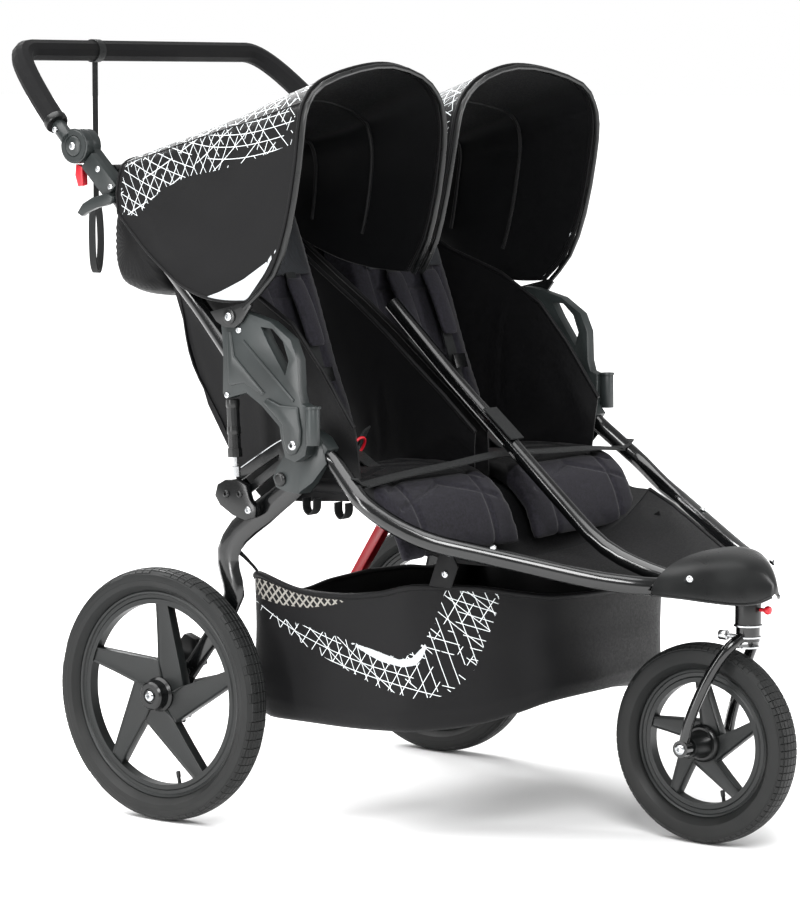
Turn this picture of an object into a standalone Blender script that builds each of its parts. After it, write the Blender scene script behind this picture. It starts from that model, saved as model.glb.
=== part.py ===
"""Side-by-side double jogging stroller, modelled as separate sub-parts.

Units are metres. +Z is up, +Y points to the rear (the handlebar) and the child
faces -Y. Lengths along Y are measured from the rear axle and are moved to the
frame's origin, on the floor under the middle of the stroller, by the empties
that carry each moving group of parts.
"""
import math

import bmesh
import bpy
from mathutils import Matrix, Vector

# Driving dimensions
REAR_AXLE_Y = 0.2720
REAR_WHEEL_RADIUS = 0.1955
REAR_RIM_RADIUS = 0.1605
REAR_TYRE_HALF_WIDTH = 0.0230
REAR_TRACK_HALF = 0.3580
FRONT_WHEEL_RADIUS = 0.1510
FRONT_RIM_RADIUS = 0.1120
FRONT_TYRE_HALF_WIDTH = 0.0245
WHEELBASE = 0.7560
TUBE_RADIUS = 0.0135
GRIP_RADIUS = 0.0170
HUB_RADIUS = 0.0270
GAP = 0.0003
WHEEL_STEPS = 40
REAR_FIRST_SPOKE = 2.6
FRONT_FIRST_SPOKE = -3.7

# Layers of the side hinge, as distances from the middle plane
ARM_MIDDLE = 0.3220
ARM_HALF = 0.0090
LINK_LAYER = (0.3325, 0.3375)
ARM_BRACKET_LAYER = (0.3390, 0.3500)
HINGE_BASE_LAYER = (0.3390, 0.3670)
HINGE_LIP_LAYER = (0.3660, 0.3680)
BRACKET_LAYER = (0.3685, 0.3880)
CANOPY_HINGE_LAYER = (0.3885, 0.3940)

# Pivots as (x, y, z), with y from the rear axle
FOLD_PIVOT = (0.0, -0.284, 0.598)
ARM_PIVOT = (0.0, -0.242, 0.543)
HEIGHT_PIVOT = (0.0, 0.175, 1.031)
CANOPY_PIVOT = (0.392, -0.167, 0.783)
RECLINE_PIVOT = (0.175, -0.135, 0.500)
LEVER_PIVOT = (0.3595, 0.103, 0.951)
BUTTON_POINT = (0.336, 0.173, 0.985)
STEERING_POINT = (0.0, -0.828, 0.353)
STEERING_AXIS = Vector((0.0, 0.0, 1.0))
SHOCK_TOP = Vector((0.372, -0.1545, 0.6585))
SHOCK_EYE = Vector((0.372, -0.1600, 0.5500))
REAR_AXLE = (0.0, 0.0, REAR_WHEEL_RADIUS)
FRONT_AXLE = (0.0, -WHEELBASE, FRONT_WHEEL_RADIUS)

SIDES = (("left", -1.0), ("right", 1.0))


def make_material(name, colour, roughness, metallic=0.0):
    material = bpy.data.materials.new(name)
    material.use_nodes = True
    shader = material.node_tree.nodes["Principled BSDF"]
    shader.inputs["Base Color"].default_value = (*colour, 1.0)
    shader.inputs["Roughness"].default_value = roughness
    shader.inputs["Metallic"].default_value = metallic
    material.diffuse_color = (*colour, 1.0)
    return material


def clear_scene():
    for item in list(bpy.data.objects):
        bpy.data.objects.remove(item, do_unlink=True)


clear_scene()

FRAME_BLACK = make_material("frame_black", (0.012, 0.013, 0.014), 0.18, 0.2)
BRACKET_GREY = make_material("bracket_grey", (0.085, 0.100, 0.098), 0.45)
BLACK_PLASTIC = make_material("black_plastic", (0.018, 0.019, 0.020), 0.40)
FOAM = make_material("foam", (0.020, 0.020, 0.021), 0.85)
TYRE = make_material("tyre_rubber", (0.022, 0.022, 0.023), 0.75)
WHEEL_PLASTIC = make_material("wheel_plastic", (0.040, 0.043, 0.043), 0.50)
BLACK_FABRIC = make_material("black_fabric", (0.012, 0.012, 0.014), 0.80)
HEATHER_FABRIC = make_material("heather_fabric", (0.060, 0.058, 0.068), 0.90)
WEBBING = make_material("webbing", (0.016, 0.016, 0.018), 0.80)
STEEL = make_material("steel", (0.550, 0.560, 0.570), 0.25, 1.0)
RED_PLASTIC = make_material("red_plastic", (0.550, 0.020, 0.030), 0.40)


def make_bodies():
    """One empty on the pivot of each group of parts that moves as one."""
    pivots = {
        "main_frame": (0.0, 0.0, 0.0),
        "upper_frame": FOLD_PIVOT,
        "handlebar": HEIGHT_PIVOT,
        "rear_links": ARM_PIVOT,
        "rear_arms": ARM_PIVOT,
        "brake_lever": REAR_AXLE,
        "fork": STEERING_POINT,
        "front_wheel": FRONT_AXLE,
        "swivel_lock": (0.0, -0.858, 0.360),
        "tracking_knob": (0.0, -0.800, 0.316),
    }
    for name, sign in SIDES:
        for body, pivot in (
            ("canopy", CANOPY_PIVOT),
            ("seat_back", RECLINE_PIVOT),
            ("release_lever", LEVER_PIVOT),
            ("height_button", BUTTON_POINT),
            ("rear_wheel", (REAR_TRACK_HALF, 0.0, REAR_WHEEL_RADIUS)),
            ("shock_rod", tuple(SHOCK_EYE)),
        ):
            pivots[f"{body}_{name}"] = (sign * pivot[0], pivot[1], pivot[2])
    empties = {}
    for name, pivot in pivots.items():
        empty = bpy.data.objects.new(f"pivot_{name}", None)
        bpy.context.collection.objects.link(empty)
        empty.location = (pivot[0], pivot[1] + REAR_AXLE_Y, pivot[2])
        empties[name] = (empty, Vector(pivot))
    return empties


BODIES = make_bodies()


def mirrored(points, sign):
    return [Vector((sign * x, y, z)) for x, y, z in points]


def smooth_path(points, steps=4):
    """Catmull-Rom curve through the points, as a list of points."""
    points = [Vector(p) for p in points]
    ends = [2 * points[0] - points[1]] + points + [2 * points[-1] - points[-2]]
    path = []
    for a, b, c, d in zip(ends, ends[1:], ends[2:], ends[3:]):
        for step in range(steps):
            t = step / steps
            path.append(
                0.5 * (2 * b + (c - a) * t + (2 * a - 5 * b + 4 * c - d) * t**2
                       + (3 * b - 3 * c + d - a) * t**3)
            )
    path.append(points[-1])
    return path


def mesh_object(name, bm):
    bmesh.ops.recalc_face_normals(bm, faces=bm.faces)
    mesh = bpy.data.meshes.new(name)
    bm.to_mesh(mesh)
    bm.free()
    item = bpy.data.objects.new(name, mesh)
    bpy.context.collection.objects.link(item)
    return item


def place(item, body, material):
    """Hang a finished piece on its body's empty, without moving it."""
    empty, pivot = BODIES[body]
    if item.type == "MESH":
        item.data.transform(Matrix.Translation(-pivot))
        item.data.shade_smooth()
        item.data.set_sharp_from_angle(angle=math.radians(35))
    else:
        for point in item.data.splines[0].points:
            point.co = (*(Vector(point.co[:3]) - pivot), 1.0)
    item.data.materials.clear()
    item.data.materials.append(material)
    item.parent = empty
    return item


def combine(target, tool, operation="UNION"):
    """Join the tool to the target, or cut it away, and remove the tool."""
    modifier = target.modifiers.new("combine", "BOOLEAN")
    modifier.operation = operation
    modifier.object = tool
    bpy.context.view_layer.update()
    depsgraph = bpy.context.evaluated_depsgraph_get()
    result = bpy.data.meshes.new_from_object(target.evaluated_get(depsgraph))
    target.modifiers.remove(modifier)
    target.data = result
    bpy.data.objects.remove(tool, do_unlink=True)
    return target


def join_all(name, pieces):
    target = pieces[0]
    for piece in pieces[1:]:
        combine(target, piece)
    target.name = name
    return target


def loft(name, rings, ring_closed=True, capped=True):
    """Bridge rings of equal length; an open ring makes a sheet."""
    bm = bmesh.new()
    rows = [[bm.verts.new(p) for p in ring] for ring in rings]
    count = len(rows[0])
    spans = count if ring_closed else count - 1
    for low, high in zip(rows, rows[1:]):
        for i in range(spans):
            j = (i + 1) % count
            bm.faces.new((low[i], low[j], high[j], high[i]))
    if capped:
        bm.faces.new(rows[0])
        bm.faces.new(rows[-1])
    return mesh_object(name, bm)


def plate(name, outline, layer, sign):
    """A flat plate: a (y, z) outline extruded between two distances from the middle plane."""
    rings = [[Vector((sign * x, y, z)) for y, z in outline] for x in layer]
    return loft(name, rings)


def turned(name, profile, start, direction, steps=16, ring=False, offset=0.0):
    """Turn a profile of (distance along the axis, radius); the offset is in steps."""
    direction = Vector(direction).normalized()
    side = direction.orthogonal().normalized()
    if abs(direction.x) > 0.99:
        side = Vector((0.0, 0.0, -1.0))
    up = direction.cross(side)
    bm = bmesh.new()
    rows = []
    for distance, radius in profile:
        centre = Vector(start) + direction * distance
        if radius == 0:
            rows.append([bm.verts.new(centre)] * steps)
            continue
        angles = [2 * math.pi * (k + offset) / steps for k in range(steps)]
        rows.append(
            [bm.verts.new(centre + radius * (math.cos(a) * side + math.sin(a) * up)) for a in angles]
        )
    pairs = list(zip(rows, rows[1:]))
    if ring:
        pairs.append((rows[-1], rows[0]))
    for low, high in pairs:
        for i in range(steps):
            j = (i + 1) % steps
            corners = []
            for vert in (low[i], low[j], high[j], high[i]):
                if vert not in corners:
                    corners.append(vert)
            if len(corners) > 2:
                bm.faces.new(corners)
    return mesh_object(name, bm)


def rod(name, start, end, radius, steps=12):
    """A plain round bar between two points."""
    start, end = Vector(start), Vector(end)
    length = (end - start).length
    profile = [(0, 0), (0, radius), (length, radius), (length, 0)]
    return turned(name, profile, start, end - start, steps)


def tube(name, path, radius, resolution=3):
    """A bent tube: a bevelled curve through a path, with filled ends."""
    data = bpy.data.curves.new(name, "CURVE")
    data.dimensions = "3D"
    data.bevel_depth = radius
    data.bevel_resolution = resolution
    data.resolution_u = 1
    data.use_fill_caps = True
    spline = data.splines.new("POLY")
    spline.points.add(len(path) - 1)
    for point, position in zip(spline.points, path):
        point.co = (*position, 1.0)
    item = bpy.data.objects.new(name, data)
    bpy.context.collection.objects.link(item)
    return item


def meshed(item):
    """Turn a curve object into a mesh object, so that it can be joined."""
    bpy.context.view_layer.update()
    depsgraph = bpy.context.evaluated_depsgraph_get()
    mesh = bpy.data.meshes.new_from_object(item.evaluated_get(depsgraph))
    name = item.name
    bpy.data.objects.remove(item, do_unlink=True)
    made = bpy.data.objects.new(name, mesh)
    bpy.context.collection.objects.link(made)
    return made


def flat_bar(path, half_width, half_thickness, steps=12):
    """Rings of an oval bar whose wide side lies in the side plane."""
    rings = []
    for i, point in enumerate(path):
        along = path[min(i + 1, len(path) - 1)] - path[max(i - 1, 0)]
        across = Vector((0.0, -along.z, along.y)).normalized()
        width = half_width[min(i * len(half_width) // len(path), len(half_width) - 1)]
        ring = []
        for k in range(steps):
            angle = 2 * math.pi * k / steps
            ring.append(
                point + across * width * math.cos(angle)
                + Vector((half_thickness * math.sin(angle), 0, 0))
            )
        rings.append(ring)
    return rings


def thicken(item, thickness, offset=-1.0):
    modifier = item.modifiers.new("thickness", "SOLIDIFY")
    modifier.thickness = thickness
    modifier.offset = offset
    modifier.use_even_offset = True
    return item


# Wheels


def spoke(name, centre, angle, outward, rim_radius, half_thickness):
    """One wedge-shaped spoke, wide at the hub, whose line passes beside the axle."""
    grow = rim_radius / 0.150
    outline = [(-0.0130 * grow, rim_radius), (0.0100 * grow, rim_radius),
               (0.0500 * grow, 0.0200 * grow), (0.0080 * grow, -0.0080 * grow),
               (-0.0040 * grow, 0.0460 * grow)]
    rings = []
    for x in (-half_thickness, half_thickness):
        ring = []
        for across, out in outline:
            forward = across * math.cos(angle) + out * math.sin(angle)
            upward = out * math.cos(angle) - across * math.sin(angle)
            ring.append(Vector(centre) + Vector((x, outward * forward, upward)))
        rings.append(ring)
    return loft(name, rings)


def make_wheel(place_name, body, centre, radius, rim, half_width, hub, swirl, first_spoke):
    """A tyre and its five-spoke wheel, about an axis along X, with a flat side down."""
    crown = radius - rim
    corner = radius / math.cos(math.pi / WHEEL_STEPS)
    half = [(0.0105, rim + 0.0005), (half_width * 0.94, rim + crown * 0.25),
            (half_width, rim + crown * 0.55), (half_width * 0.58, corner - crown * 0.07)]
    profile = [(-x, r) for x, r in half] + [(0.0, corner)] + [(x, r) for x, r in reversed(half)]
    tyre = turned(f"tyre_{place_name}", profile, centre, (1, 0, 0), WHEEL_STEPS, True, 0.5)
    place(tyre, body, TYRE)

    lip = 0.0100
    rim_depth = 0.0200
    rim_profile = [(-lip, rim), (-lip, rim - rim_depth), (lip, rim - rim_depth), (lip, rim)]
    pieces = [turned("rim", rim_profile, centre, (1, 0, 0), WHEEL_STEPS, True, 0.5)]
    inner_end, outer_end, hub_radius = hub
    start = (centre[0] + inner_end, centre[1], centre[2])
    end = (centre[0] + outer_end, centre[1], centre[2])
    pieces.append(rod("hub", start, end, hub_radius, 20))
    for k in range(5):
        angle = math.radians(first_spoke + 72 * k)
        pieces.append(spoke("spoke", centre, angle, swirl, rim - rim_depth * 0.6, 0.0085))
    return join_all(f"wheel_{place_name}", pieces)


def make_wheels():
    for name, sign in SIDES:
        centre = (sign * REAR_TRACK_HALF, 0.0, REAR_WHEEL_RADIUS)
        inner, outer = -sign * 0.0250, sign * 0.0300
        wheel = make_wheel(
            f"rear_{name}", f"rear_wheel_{name}", centre, REAR_WHEEL_RADIUS, REAR_RIM_RADIUS,
            REAR_TYRE_HALF_WIDTH, (inner, outer, 0.0270), sign, REAR_FIRST_SPOKE,
        )
        teeth = 20
        outline = []
        for k in range(teeth * 2):
            reach = 0.052 if k % 2 else 0.046
            angle = math.pi * k / teeth
            outline.append((reach * math.cos(angle), REAR_WHEEL_RADIUS + reach * math.sin(angle)))
        disc = plate("disc", outline, (0.3340, 0.3370), sign)
        combine(wheel, disc)
        place(wheel, f"rear_wheel_{name}", WHEEL_PLASTIC)
    wheel = make_wheel(
        "front", "front_wheel", FRONT_AXLE, FRONT_WHEEL_RADIUS, FRONT_RIM_RADIUS,
        FRONT_TYRE_HALF_WIDTH, (-0.0522, 0.0522, 0.0190), -1.0, FRONT_FIRST_SPOKE,
    )
    place(wheel, "front_wheel", WHEEL_PLASTIC)


# Rear arms, axle, links, brake and shocks


def make_rear():
    arm_points = [(ARM_PIVOT[1] - 0.006, ARM_PIVOT[2] + 0.004), (-0.220, 0.521), (-0.172, 0.486),
                  (-0.125, 0.452), (-0.103, 0.419), (-0.106, 0.389), (-0.114, 0.356),
                  (-0.093, 0.314), (-0.059, 0.272), (-0.006, 0.205)]
    widths = (0.0200, 0.0215, 0.0210, 0.0200, 0.0160, 0.0150)
    for name, sign in SIDES:
        path = smooth_path([(sign * ARM_MIDDLE, y, z) for y, z in arm_points], 2)
        arm = loft(f"swing_arm_{name}", flat_bar(path, widths, ARM_HALF))
        inner = sign * (ARM_MIDDLE - 0.0110)
        outer = sign * (ARM_MIDDLE + 0.0105)
        boss = rod("boss", (inner, 0, REAR_WHEEL_RADIUS), (outer, 0, REAR_WHEEL_RADIUS), 0.0200, 16)
        combine(arm, boss)
        place(arm, "rear_arms", FRAME_BLACK)

        bracket_outline = [(-0.105, 0.525), (-0.100, 0.508), (-0.110, 0.494), (-0.135, 0.480),
                           (-0.160, 0.474), (-0.178, 0.480), (-0.180, 0.495), (-0.168, 0.506),
                           (-0.160, 0.528), (-0.140, 0.535), (-0.120, 0.533)]
        bracket = plate(f"arm_bracket_{name}", bracket_outline, ARM_BRACKET_LAYER, sign)
        boss_end = sign * (ARM_MIDDLE + ARM_HALF + GAP)
        boss = rod("boss", (boss_end, -0.1655, 0.4900), (sign * 0.345, -0.1655, 0.4900), 0.0090)
        combine(bracket, boss)
        place(bracket, "rear_arms", BLACK_PLASTIC)

        link_outline = [(-0.253, 0.537), (-0.246, 0.531), (-0.235, 0.532), (-0.2207, 0.5566),
                        (-0.1597, 0.5146), (-0.1523, 0.5254), (-0.2133, 0.5674), (-0.2150, 0.5765),
                        (-0.1351, 0.5291), (-0.1269, 0.5429), (-0.2129, 0.5939), (-0.228, 0.598),
                        (-0.240, 0.585), (-0.250, 0.560)]
        link = plate(f"rear_link_{name}", link_outline, LINK_LAYER, sign)
        place(link, "rear_links", BLACK_PLASTIC)

        caliper_outline = [(-0.040, 0.238), (-0.030, 0.276), (-0.006, 0.284), (0.014, 0.262),
                           (0.012, 0.222), (-0.008, 0.222)]
        caliper = plate(f"brake_caliper_{name}", caliper_outline, (0.2960, 0.3127), sign)
        place(caliper, "rear_arms", BLACK_PLASTIC)

        top = Vector((sign * SHOCK_TOP.x, SHOCK_TOP.y, SHOCK_TOP.z))
        along = (SHOCK_EYE - SHOCK_TOP).normalized()
        body_profile = [(0, 0), (0, 0.0085), (0.004, 0.0095), (0.0735, 0.0095), (0.0735, 0.0110),
                        (0.0865, 0.0110), (0.0865, 0.0046), (0.0580, 0.0046), (0.0580, 0)]
        shock = turned(f"shock_body_{name}", body_profile, top, along, 14)
        place(shock, "upper_frame", BRACKET_GREY)
        rod_profile = [(0.0700, 0), (0.0700, 0.0040), (0.1010, 0.0040), (0.1010, 0.0075),
                       (0.1160, 0.0075), (0.1160, 0)]
        shock_rod = turned(f"shock_rod_{name}", rod_profile, top, along, 12)
        place(shock_rod, f"shock_rod_{name}", STEEL)

    half = ARM_MIDDLE - 0.0110 - GAP
    axle = rod("rear_axle", (-half, 0, REAR_WHEEL_RADIUS), (half, 0, REAR_WHEEL_RADIUS), 0.0125, 16)
    place(axle, "rear_arms", FRAME_BLACK)

    collar_profile = [(-0.012, 0.0129), (-0.012, 0.0190), (0.012, 0.0190), (0.012, 0.0129)]
    collar = turned("collar", collar_profile, REAR_AXLE, (1, 0, 0), 16, ring=True)
    bar_outline = [(-0.0145, 0.2040), (-0.0040, 0.2120), (-0.1495, 0.4380), (-0.1645, 0.4280)]
    bar = plate("bar", bar_outline, (-0.0090, 0.0090), 1.0)
    lever = join_all("brake_lever", [collar, bar])
    place(lever, "brake_lever", RED_PLASTIC)


# Main frame


def make_main_frame():
    swoop = [(0.3520, -0.3212, 0.5803), (0.3520, -0.3320, 0.5718), (0.3560, -0.3500, 0.5570),
             (0.3610, -0.3700, 0.5400), (0.3665, -0.400, 0.516), (0.353, -0.450, 0.485),
             (0.332, -0.500, 0.464), (0.297, -0.550, 0.450), (0.228, -0.650, 0.422),
             (0.192, -0.700, 0.410), (0.158, -0.743, 0.403), (0.127, -0.768, 0.400),
             (0.092, -0.788, 0.396), (0.060, -0.799, 0.392), (0.0372, -0.803, 0.390)]
    base_outline = [(-0.3110, 0.5682), (-0.3303, 0.5930), (-0.318, 0.608), (-0.300, 0.618),
                    (-0.280, 0.618), (-0.262, 0.610), (-0.256, 0.590), (-0.236, 0.562),
                    (-0.227, 0.545), (-0.233, 0.531), (-0.250, 0.526), (-0.276, 0.5235),
                    (-0.292, 0.5400)]
    lip_outline = [(-0.276, 0.5250), (-0.303, 0.5430), (-0.329, 0.5720), (-0.318, 0.6060),
                   (-0.290, 0.600)]
    for name, sign in SIDES:
        path = smooth_path(mirrored(swoop, sign), 3)
        place(tube(f"swoop_tube_{name}", path, TUBE_RADIUS), "main_frame", FRAME_BLACK)
        base = plate(f"hinge_base_{name}", base_outline, HINGE_BASE_LAYER, sign)
        combine(base, plate("lip", lip_outline, HINGE_LIP_LAYER, sign))
        place(base, "main_frame", BRACKET_GREY)

    centre = [(0, -0.171, 0.784), (0, -0.294, 0.669), (0, -0.380, 0.595), (0, -0.492, 0.496),
              (0, -0.575, 0.430), (0, -0.660, 0.400), (0, -0.720, 0.392), (0, -0.7845, 0.389)]
    place(tube("centre_tube", smooth_path(centre, 3), 0.0125), "main_frame", FRAME_BLACK)

    top = Vector(STEERING_POINT) + STEERING_AXIS * 0.0220
    bottom = Vector(STEERING_POINT) - STEERING_AXIS * 0.0180
    neck = rod("neck", bottom, top, 0.0195, 20)
    block = loft("block", [
        [Vector((x, y, z)) for x, z in ((-0.018, 0.366), (0.018, 0.366), (0.0325, 0.378),
                                        (0.0325, 0.404), (-0.0325, 0.404), (-0.0325, 0.378))]
        for y in (-0.8300, -0.7850)
    ])
    place(join_all("head_tube", [neck, block]), "main_frame", FRAME_BLACK)

    lock = [(0, 0), (0, 0.0030), (0.0080, 0.0030), (0.0095, 0.0055), (0.0130, 0.0068),
            (0.0175, 0.0060), (0.0195, 0)]
    knob = turned("swivel_lock", lock, (0, -0.8480, 0.3590), (0, -1, 0), 12)
    place(knob, "swivel_lock", RED_PLASTIC)


def make_nose_cover():
    """A hollow cap over the ends of the two front tubes, open underneath."""
    stations = [(-0.7650, 0.165, 0.442, 0.392), (-0.7920, 0.130, 0.442, 0.386),
                (-0.8200, 0.092, 0.438, 0.378), (-0.8450, 0.056, 0.430, 0.372),
                (-0.8620, 0.029, 0.416, 0.373), (-0.8740, 0.010, 0.398, 0.380)]
    rings = []
    for y, half, top, foot in stations:
        ring = []
        for k in range(13):
            x = math.cos(math.pi * (1 - k / 12))
            z = foot + (top - foot) * math.sqrt(max(0.0, 1 - abs(x) ** 2.4))
            ring.append(Vector((half * x, y, z)))
        rings.append(ring)
    cover = loft("nose_cover", rings, ring_closed=False, capped=False)
    bm = bmesh.new()
    bm.from_mesh(cover.data)
    bm.verts.ensure_lookup_table()
    bm.faces.new(bm.verts[-13:])
    bmesh.ops.recalc_face_normals(bm, faces=bm.faces)
    bm.to_mesh(cover.data)
    bm.free()
    thicken(cover, 0.0030)
    place(cover, "main_frame", BLACK_PLASTIC)


# Upper frame and handlebar


def make_upper_frame():
    bracket_outline = [(-0.146, 0.772), (-0.150, 0.787), (-0.166, 0.794), (-0.186, 0.792),
                       (-0.210, 0.786), (-0.240, 0.778), (-0.278, 0.753), (-0.291, 0.724),
                       (-0.293, 0.677), (-0.298, 0.660), (-0.311, 0.655), (-0.311, 0.608),
                       (-0.305, 0.584), (-0.286, 0.573), (-0.268, 0.579), (-0.260, 0.605),
                       (-0.257, 0.624), (-0.224, 0.653), (-0.194, 0.671), (-0.171, 0.665),
                       (-0.157, 0.6605), (-0.149, 0.668), (-0.150, 0.728), (-0.148, 0.755)]
    window_outline = [(-0.222, 0.770), (-0.236, 0.746), (-0.268, 0.700), (-0.2745, 0.722),
                      (-0.264, 0.750), (-0.244, 0.768)]
    for name, sign in SIDES:
        bracket = plate(f"hinge_bracket_{name}", bracket_outline, BRACKET_LAYER, sign)
        window = plate("window", window_outline, (0.3600, 0.3950), sign)
        combine(bracket, window, "DIFFERENCE")
        low, high = (sign * 0.3870, -0.3195, 0.6000), (sign * 0.3870, -0.3185, 0.6540)
        combine(bracket, rod("socket", low, high, 0.0108, 16))
        floor = (sign * 0.3870, -0.3193, 0.6120)
        above = (sign * 0.3870, -0.3180, 0.6600)
        combine(bracket, rod("bore", floor, above, 0.0083, 16), "DIFFERENCE")
        place(bracket, "upper_frame", BRACKET_GREY)

        side = [(0.3400, 0.0936, 0.9499), (0.3400, 0.020, 0.876), (0.3400, -0.060, 0.797),
                (0.3480, -0.110, 0.750), (0.3535, -0.140, 0.722), (0.3540, -0.155, 0.705)]
        path = smooth_path(mirrored(side, sign), 3)
        place(tube(f"side_tube_{name}", path, TUBE_RADIUS), "upper_frame", FRAME_BLACK)

        along = Vector((0, 0.0785, 0.0785)).normalized()
        across = Vector((0, -along.z, along.y))
        low, high = Vector((0, 0.1050, 0.9615)), Vector(HEIGHT_PIVOT)
        outline = []
        for centre, heading in ((low, math.pi), (high, 0.0)):
            for k in range(7):
                angle = heading - math.pi / 2 + math.pi * k / 6
                point = centre + 0.0150 * (math.cos(angle) * along + math.sin(angle) * across)
                outline.append((point.y, point.z))
        mount = plate(f"arm_mount_{name}", outline, (0.3225, 0.3385), sign)
        block = [low - 0.0150 * across, high - 0.0300 * along - 0.0150 * across,
                 high - 0.0300 * along + 0.0150 * across, low + 0.0150 * across]
        combine(mount, plate("block", [(p.y, p.z) for p in block], (0.3290, 0.3500), sign))
        drum_start, drum_end = Vector((sign * 0.3215, 0, 0)), Vector((sign * 0.3385, 0, 0))
        combine(mount, rod("drum", high + drum_start, high + drum_end, HUB_RADIUS - 0.0005, 24))
        place(mount, "upper_frame", BRACKET_GREY)
        button_outline = [(0.1700, 0.9990), (0.1830, 1.0035), (0.1850, 0.986), (0.1790, 0.968),
                          (0.1690, 0.971)]
        button = plate(f"height_button_{name}", button_outline, (0.3300, 0.3420), sign)
        place(button, f"height_button_{name}", RED_PLASTIC)

        lever_outline = [(0.090, 0.955), (0.104, 0.959), (0.130, 0.953), (0.150, 0.943),
                         (0.161, 0.929), (0.152, 0.924), (0.140, 0.931), (0.120, 0.938),
                         (0.104, 0.941), (0.091, 0.946)]
        lever = plate(f"release_lever_{name}", lever_outline, (0.3550, 0.3640), sign)
        boss_start = (sign * 0.3503, *LEVER_PIVOT[1:])
        combine(lever, rod("boss", boss_start, (sign * 0.3600, *LEVER_PIVOT[1:]), 0.0070))
        place(lever, f"release_lever_{name}", BRACKET_GREY)

        disc_start = Vector(HEIGHT_PIVOT) + Vector((sign * 0.3390, 0, 0))
        disc_end = Vector(HEIGHT_PIVOT) + Vector((sign * 0.3545, 0, 0))
        disc = rod("disc", disc_start, disc_end, HUB_RADIUS, 24)
        neck_end = Vector((sign * 0.3447, 0.2160, 1.0625))
        neck_start = Vector((sign * 0.3525, 0.1890, 1.0420))
        hub = join_all(f"height_hub_{name}", [disc, rod("neck", neck_start, neck_end, 0.0115)])
        place(hub, "handlebar", BRACKET_GREY)

    cross = rod("upper_cross_tube", (-0.3220, 0.1250, 0.9930), (0.3220, 0.1250, 0.9930), 0.0100)
    place(cross, "upper_frame", FRAME_BLACK)

    grip = [(0.3443, 0.2176, 1.0640), (0.3416, 0.2269, 1.0711), (0.333, 0.262, 1.103),
            (0.318, 0.305, 1.143), (0.300, 0.333, 1.168), (0.276, 0.345, 1.179),
            (0.245, 0.346, 1.180), (0.200, 0.346, 1.180), (0.100, 0.346, 1.180)]
    route = mirrored(grip, -1.0) + list(reversed(mirrored(grip, 1.0)))
    place(tube("handle_grip", smooth_path(route, 3), GRIP_RADIUS), "handlebar", FOAM)

    strap_x, strap_y = -0.114, 0.3460
    rings = []
    for z, half_width in ((1.162, 0.0090), (1.060, 0.0080), (0.960, 0.0070), (0.880, 0.0100),
                          (0.818, 0.0060)):
        rings.append([Vector((strap_x + x * half_width, strap_y + y * 0.0015, z))
                      for x, y in ((-1, -1), (1, -1), (1, 1), (-1, 1))])
    place(loft("wrist_strap", rings), "handlebar", WEBBING)


# Soft parts


def make_canopies():
    rim = [(0.385, -0.195, 0.806), (0.385, -0.237, 0.850), (0.385, -0.266, 0.920),
           (0.385, -0.285, 1.010), (0.384, -0.291, 1.065), (0.372, -0.291, 1.100),
           (0.337, -0.292, 1.129), (0.250, -0.290, 1.150), (0.162, -0.286, 1.156),
           (0.085, -0.284, 1.140), (0.043, -0.281, 1.115), (0.022, -0.279, 1.084),
           (0.014, -0.275, 1.037), (0.011, -0.262, 0.961), (0.011, -0.242, 0.888),
           (0.011, -0.213, 0.837)]
    back = [(0.361, 0.080, 0.930), (0.361, 0.081, 0.945), (0.361, 0.082, 0.960),
            (0.360, 0.080, 0.980), (0.358, 0.077, 0.995), (0.350, 0.077, 1.005),
            (0.325, 0.079, 1.013), (0.250, 0.083, 1.020), (0.162, 0.085, 1.023),
            (0.085, 0.083, 1.018), (0.043, 0.080, 1.012), (0.022, 0.078, 1.004),
            (0.014, 0.076, 0.990), (0.012, 0.076, 0.970), (0.012, 0.076, 0.950),
            (0.012, 0.076, 0.930)]
    hinge_outline = [(-0.130, 0.789), (-0.142, 0.775), (-0.158, 0.767), (-0.176, 0.767),
                     (-0.190, 0.776), (-0.209, 0.801), (-0.200, 0.806), (-0.170, 0.799)]
    stations = 6
    for name, sign in SIDES:
        rings = []
        for k in range(stations + 1):
            t = k / stations
            ring = []
            for i, (front, rear) in enumerate(zip(rim, back)):
                point = Vector(front).lerp(Vector(rear), t)
                if i < 5 or i > 10:
                    sag = 1.0 - min(i, 15 - i) / 4.5
                    point.z -= 0.045 * max(0.0, sag) * math.sin(math.pi * t) * (1.0 if i < 5 else 0.6)
                ring.append(Vector((sign * point.x, point.y, point.z)))
            rings.append(ring)
        shell = loft(f"canopy_shell_{name}", rings, ring_closed=False, capped=False)
        if sign > 0:
            shell.data.flip_normals()
        normal = shell.data.polygons[0].normal
        thicken(shell, 0.0040, -1.0 if normal.x * sign > 0 else 1.0)
        place(shell, f"canopy_{name}", BLACK_FABRIC)

        offset = Vector((0.0, -0.0080, -0.0032))
        path = [(0.3928, -0.194, 0.796)] + [tuple(Vector(p) + offset) for p in rim[1:]]
        bow = meshed(tube("bow", smooth_path(mirrored(path, sign), 2), 0.0042, 2))
        hinge = plate("hinge", hinge_outline, CANOPY_HINGE_LAYER, sign)
        place(join_all(f"canopy_bow_{name}", [hinge, bow]), f"canopy_{name}", BRACKET_GREY)


def seat_section(y, inner, outer, low_outer, floor, pan, inner_top, outer_top, sign):
    """A tub-shaped section: thin side walls on a thick floor."""
    wall = 0.007
    corners = [(inner, inner_top), (inner, floor), (low_outer, floor), (low_outer + 0.002, 0.588),
               (outer, max(outer_top - 0.02, 0.600)), (outer, outer_top), (outer - wall, outer_top),
               (low_outer - wall, pan + 0.012), (inner + wall + 0.004, pan), (inner + wall, inner_top)]
    return [Vector((sign * x, y, z)) for x, z in corners]


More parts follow.
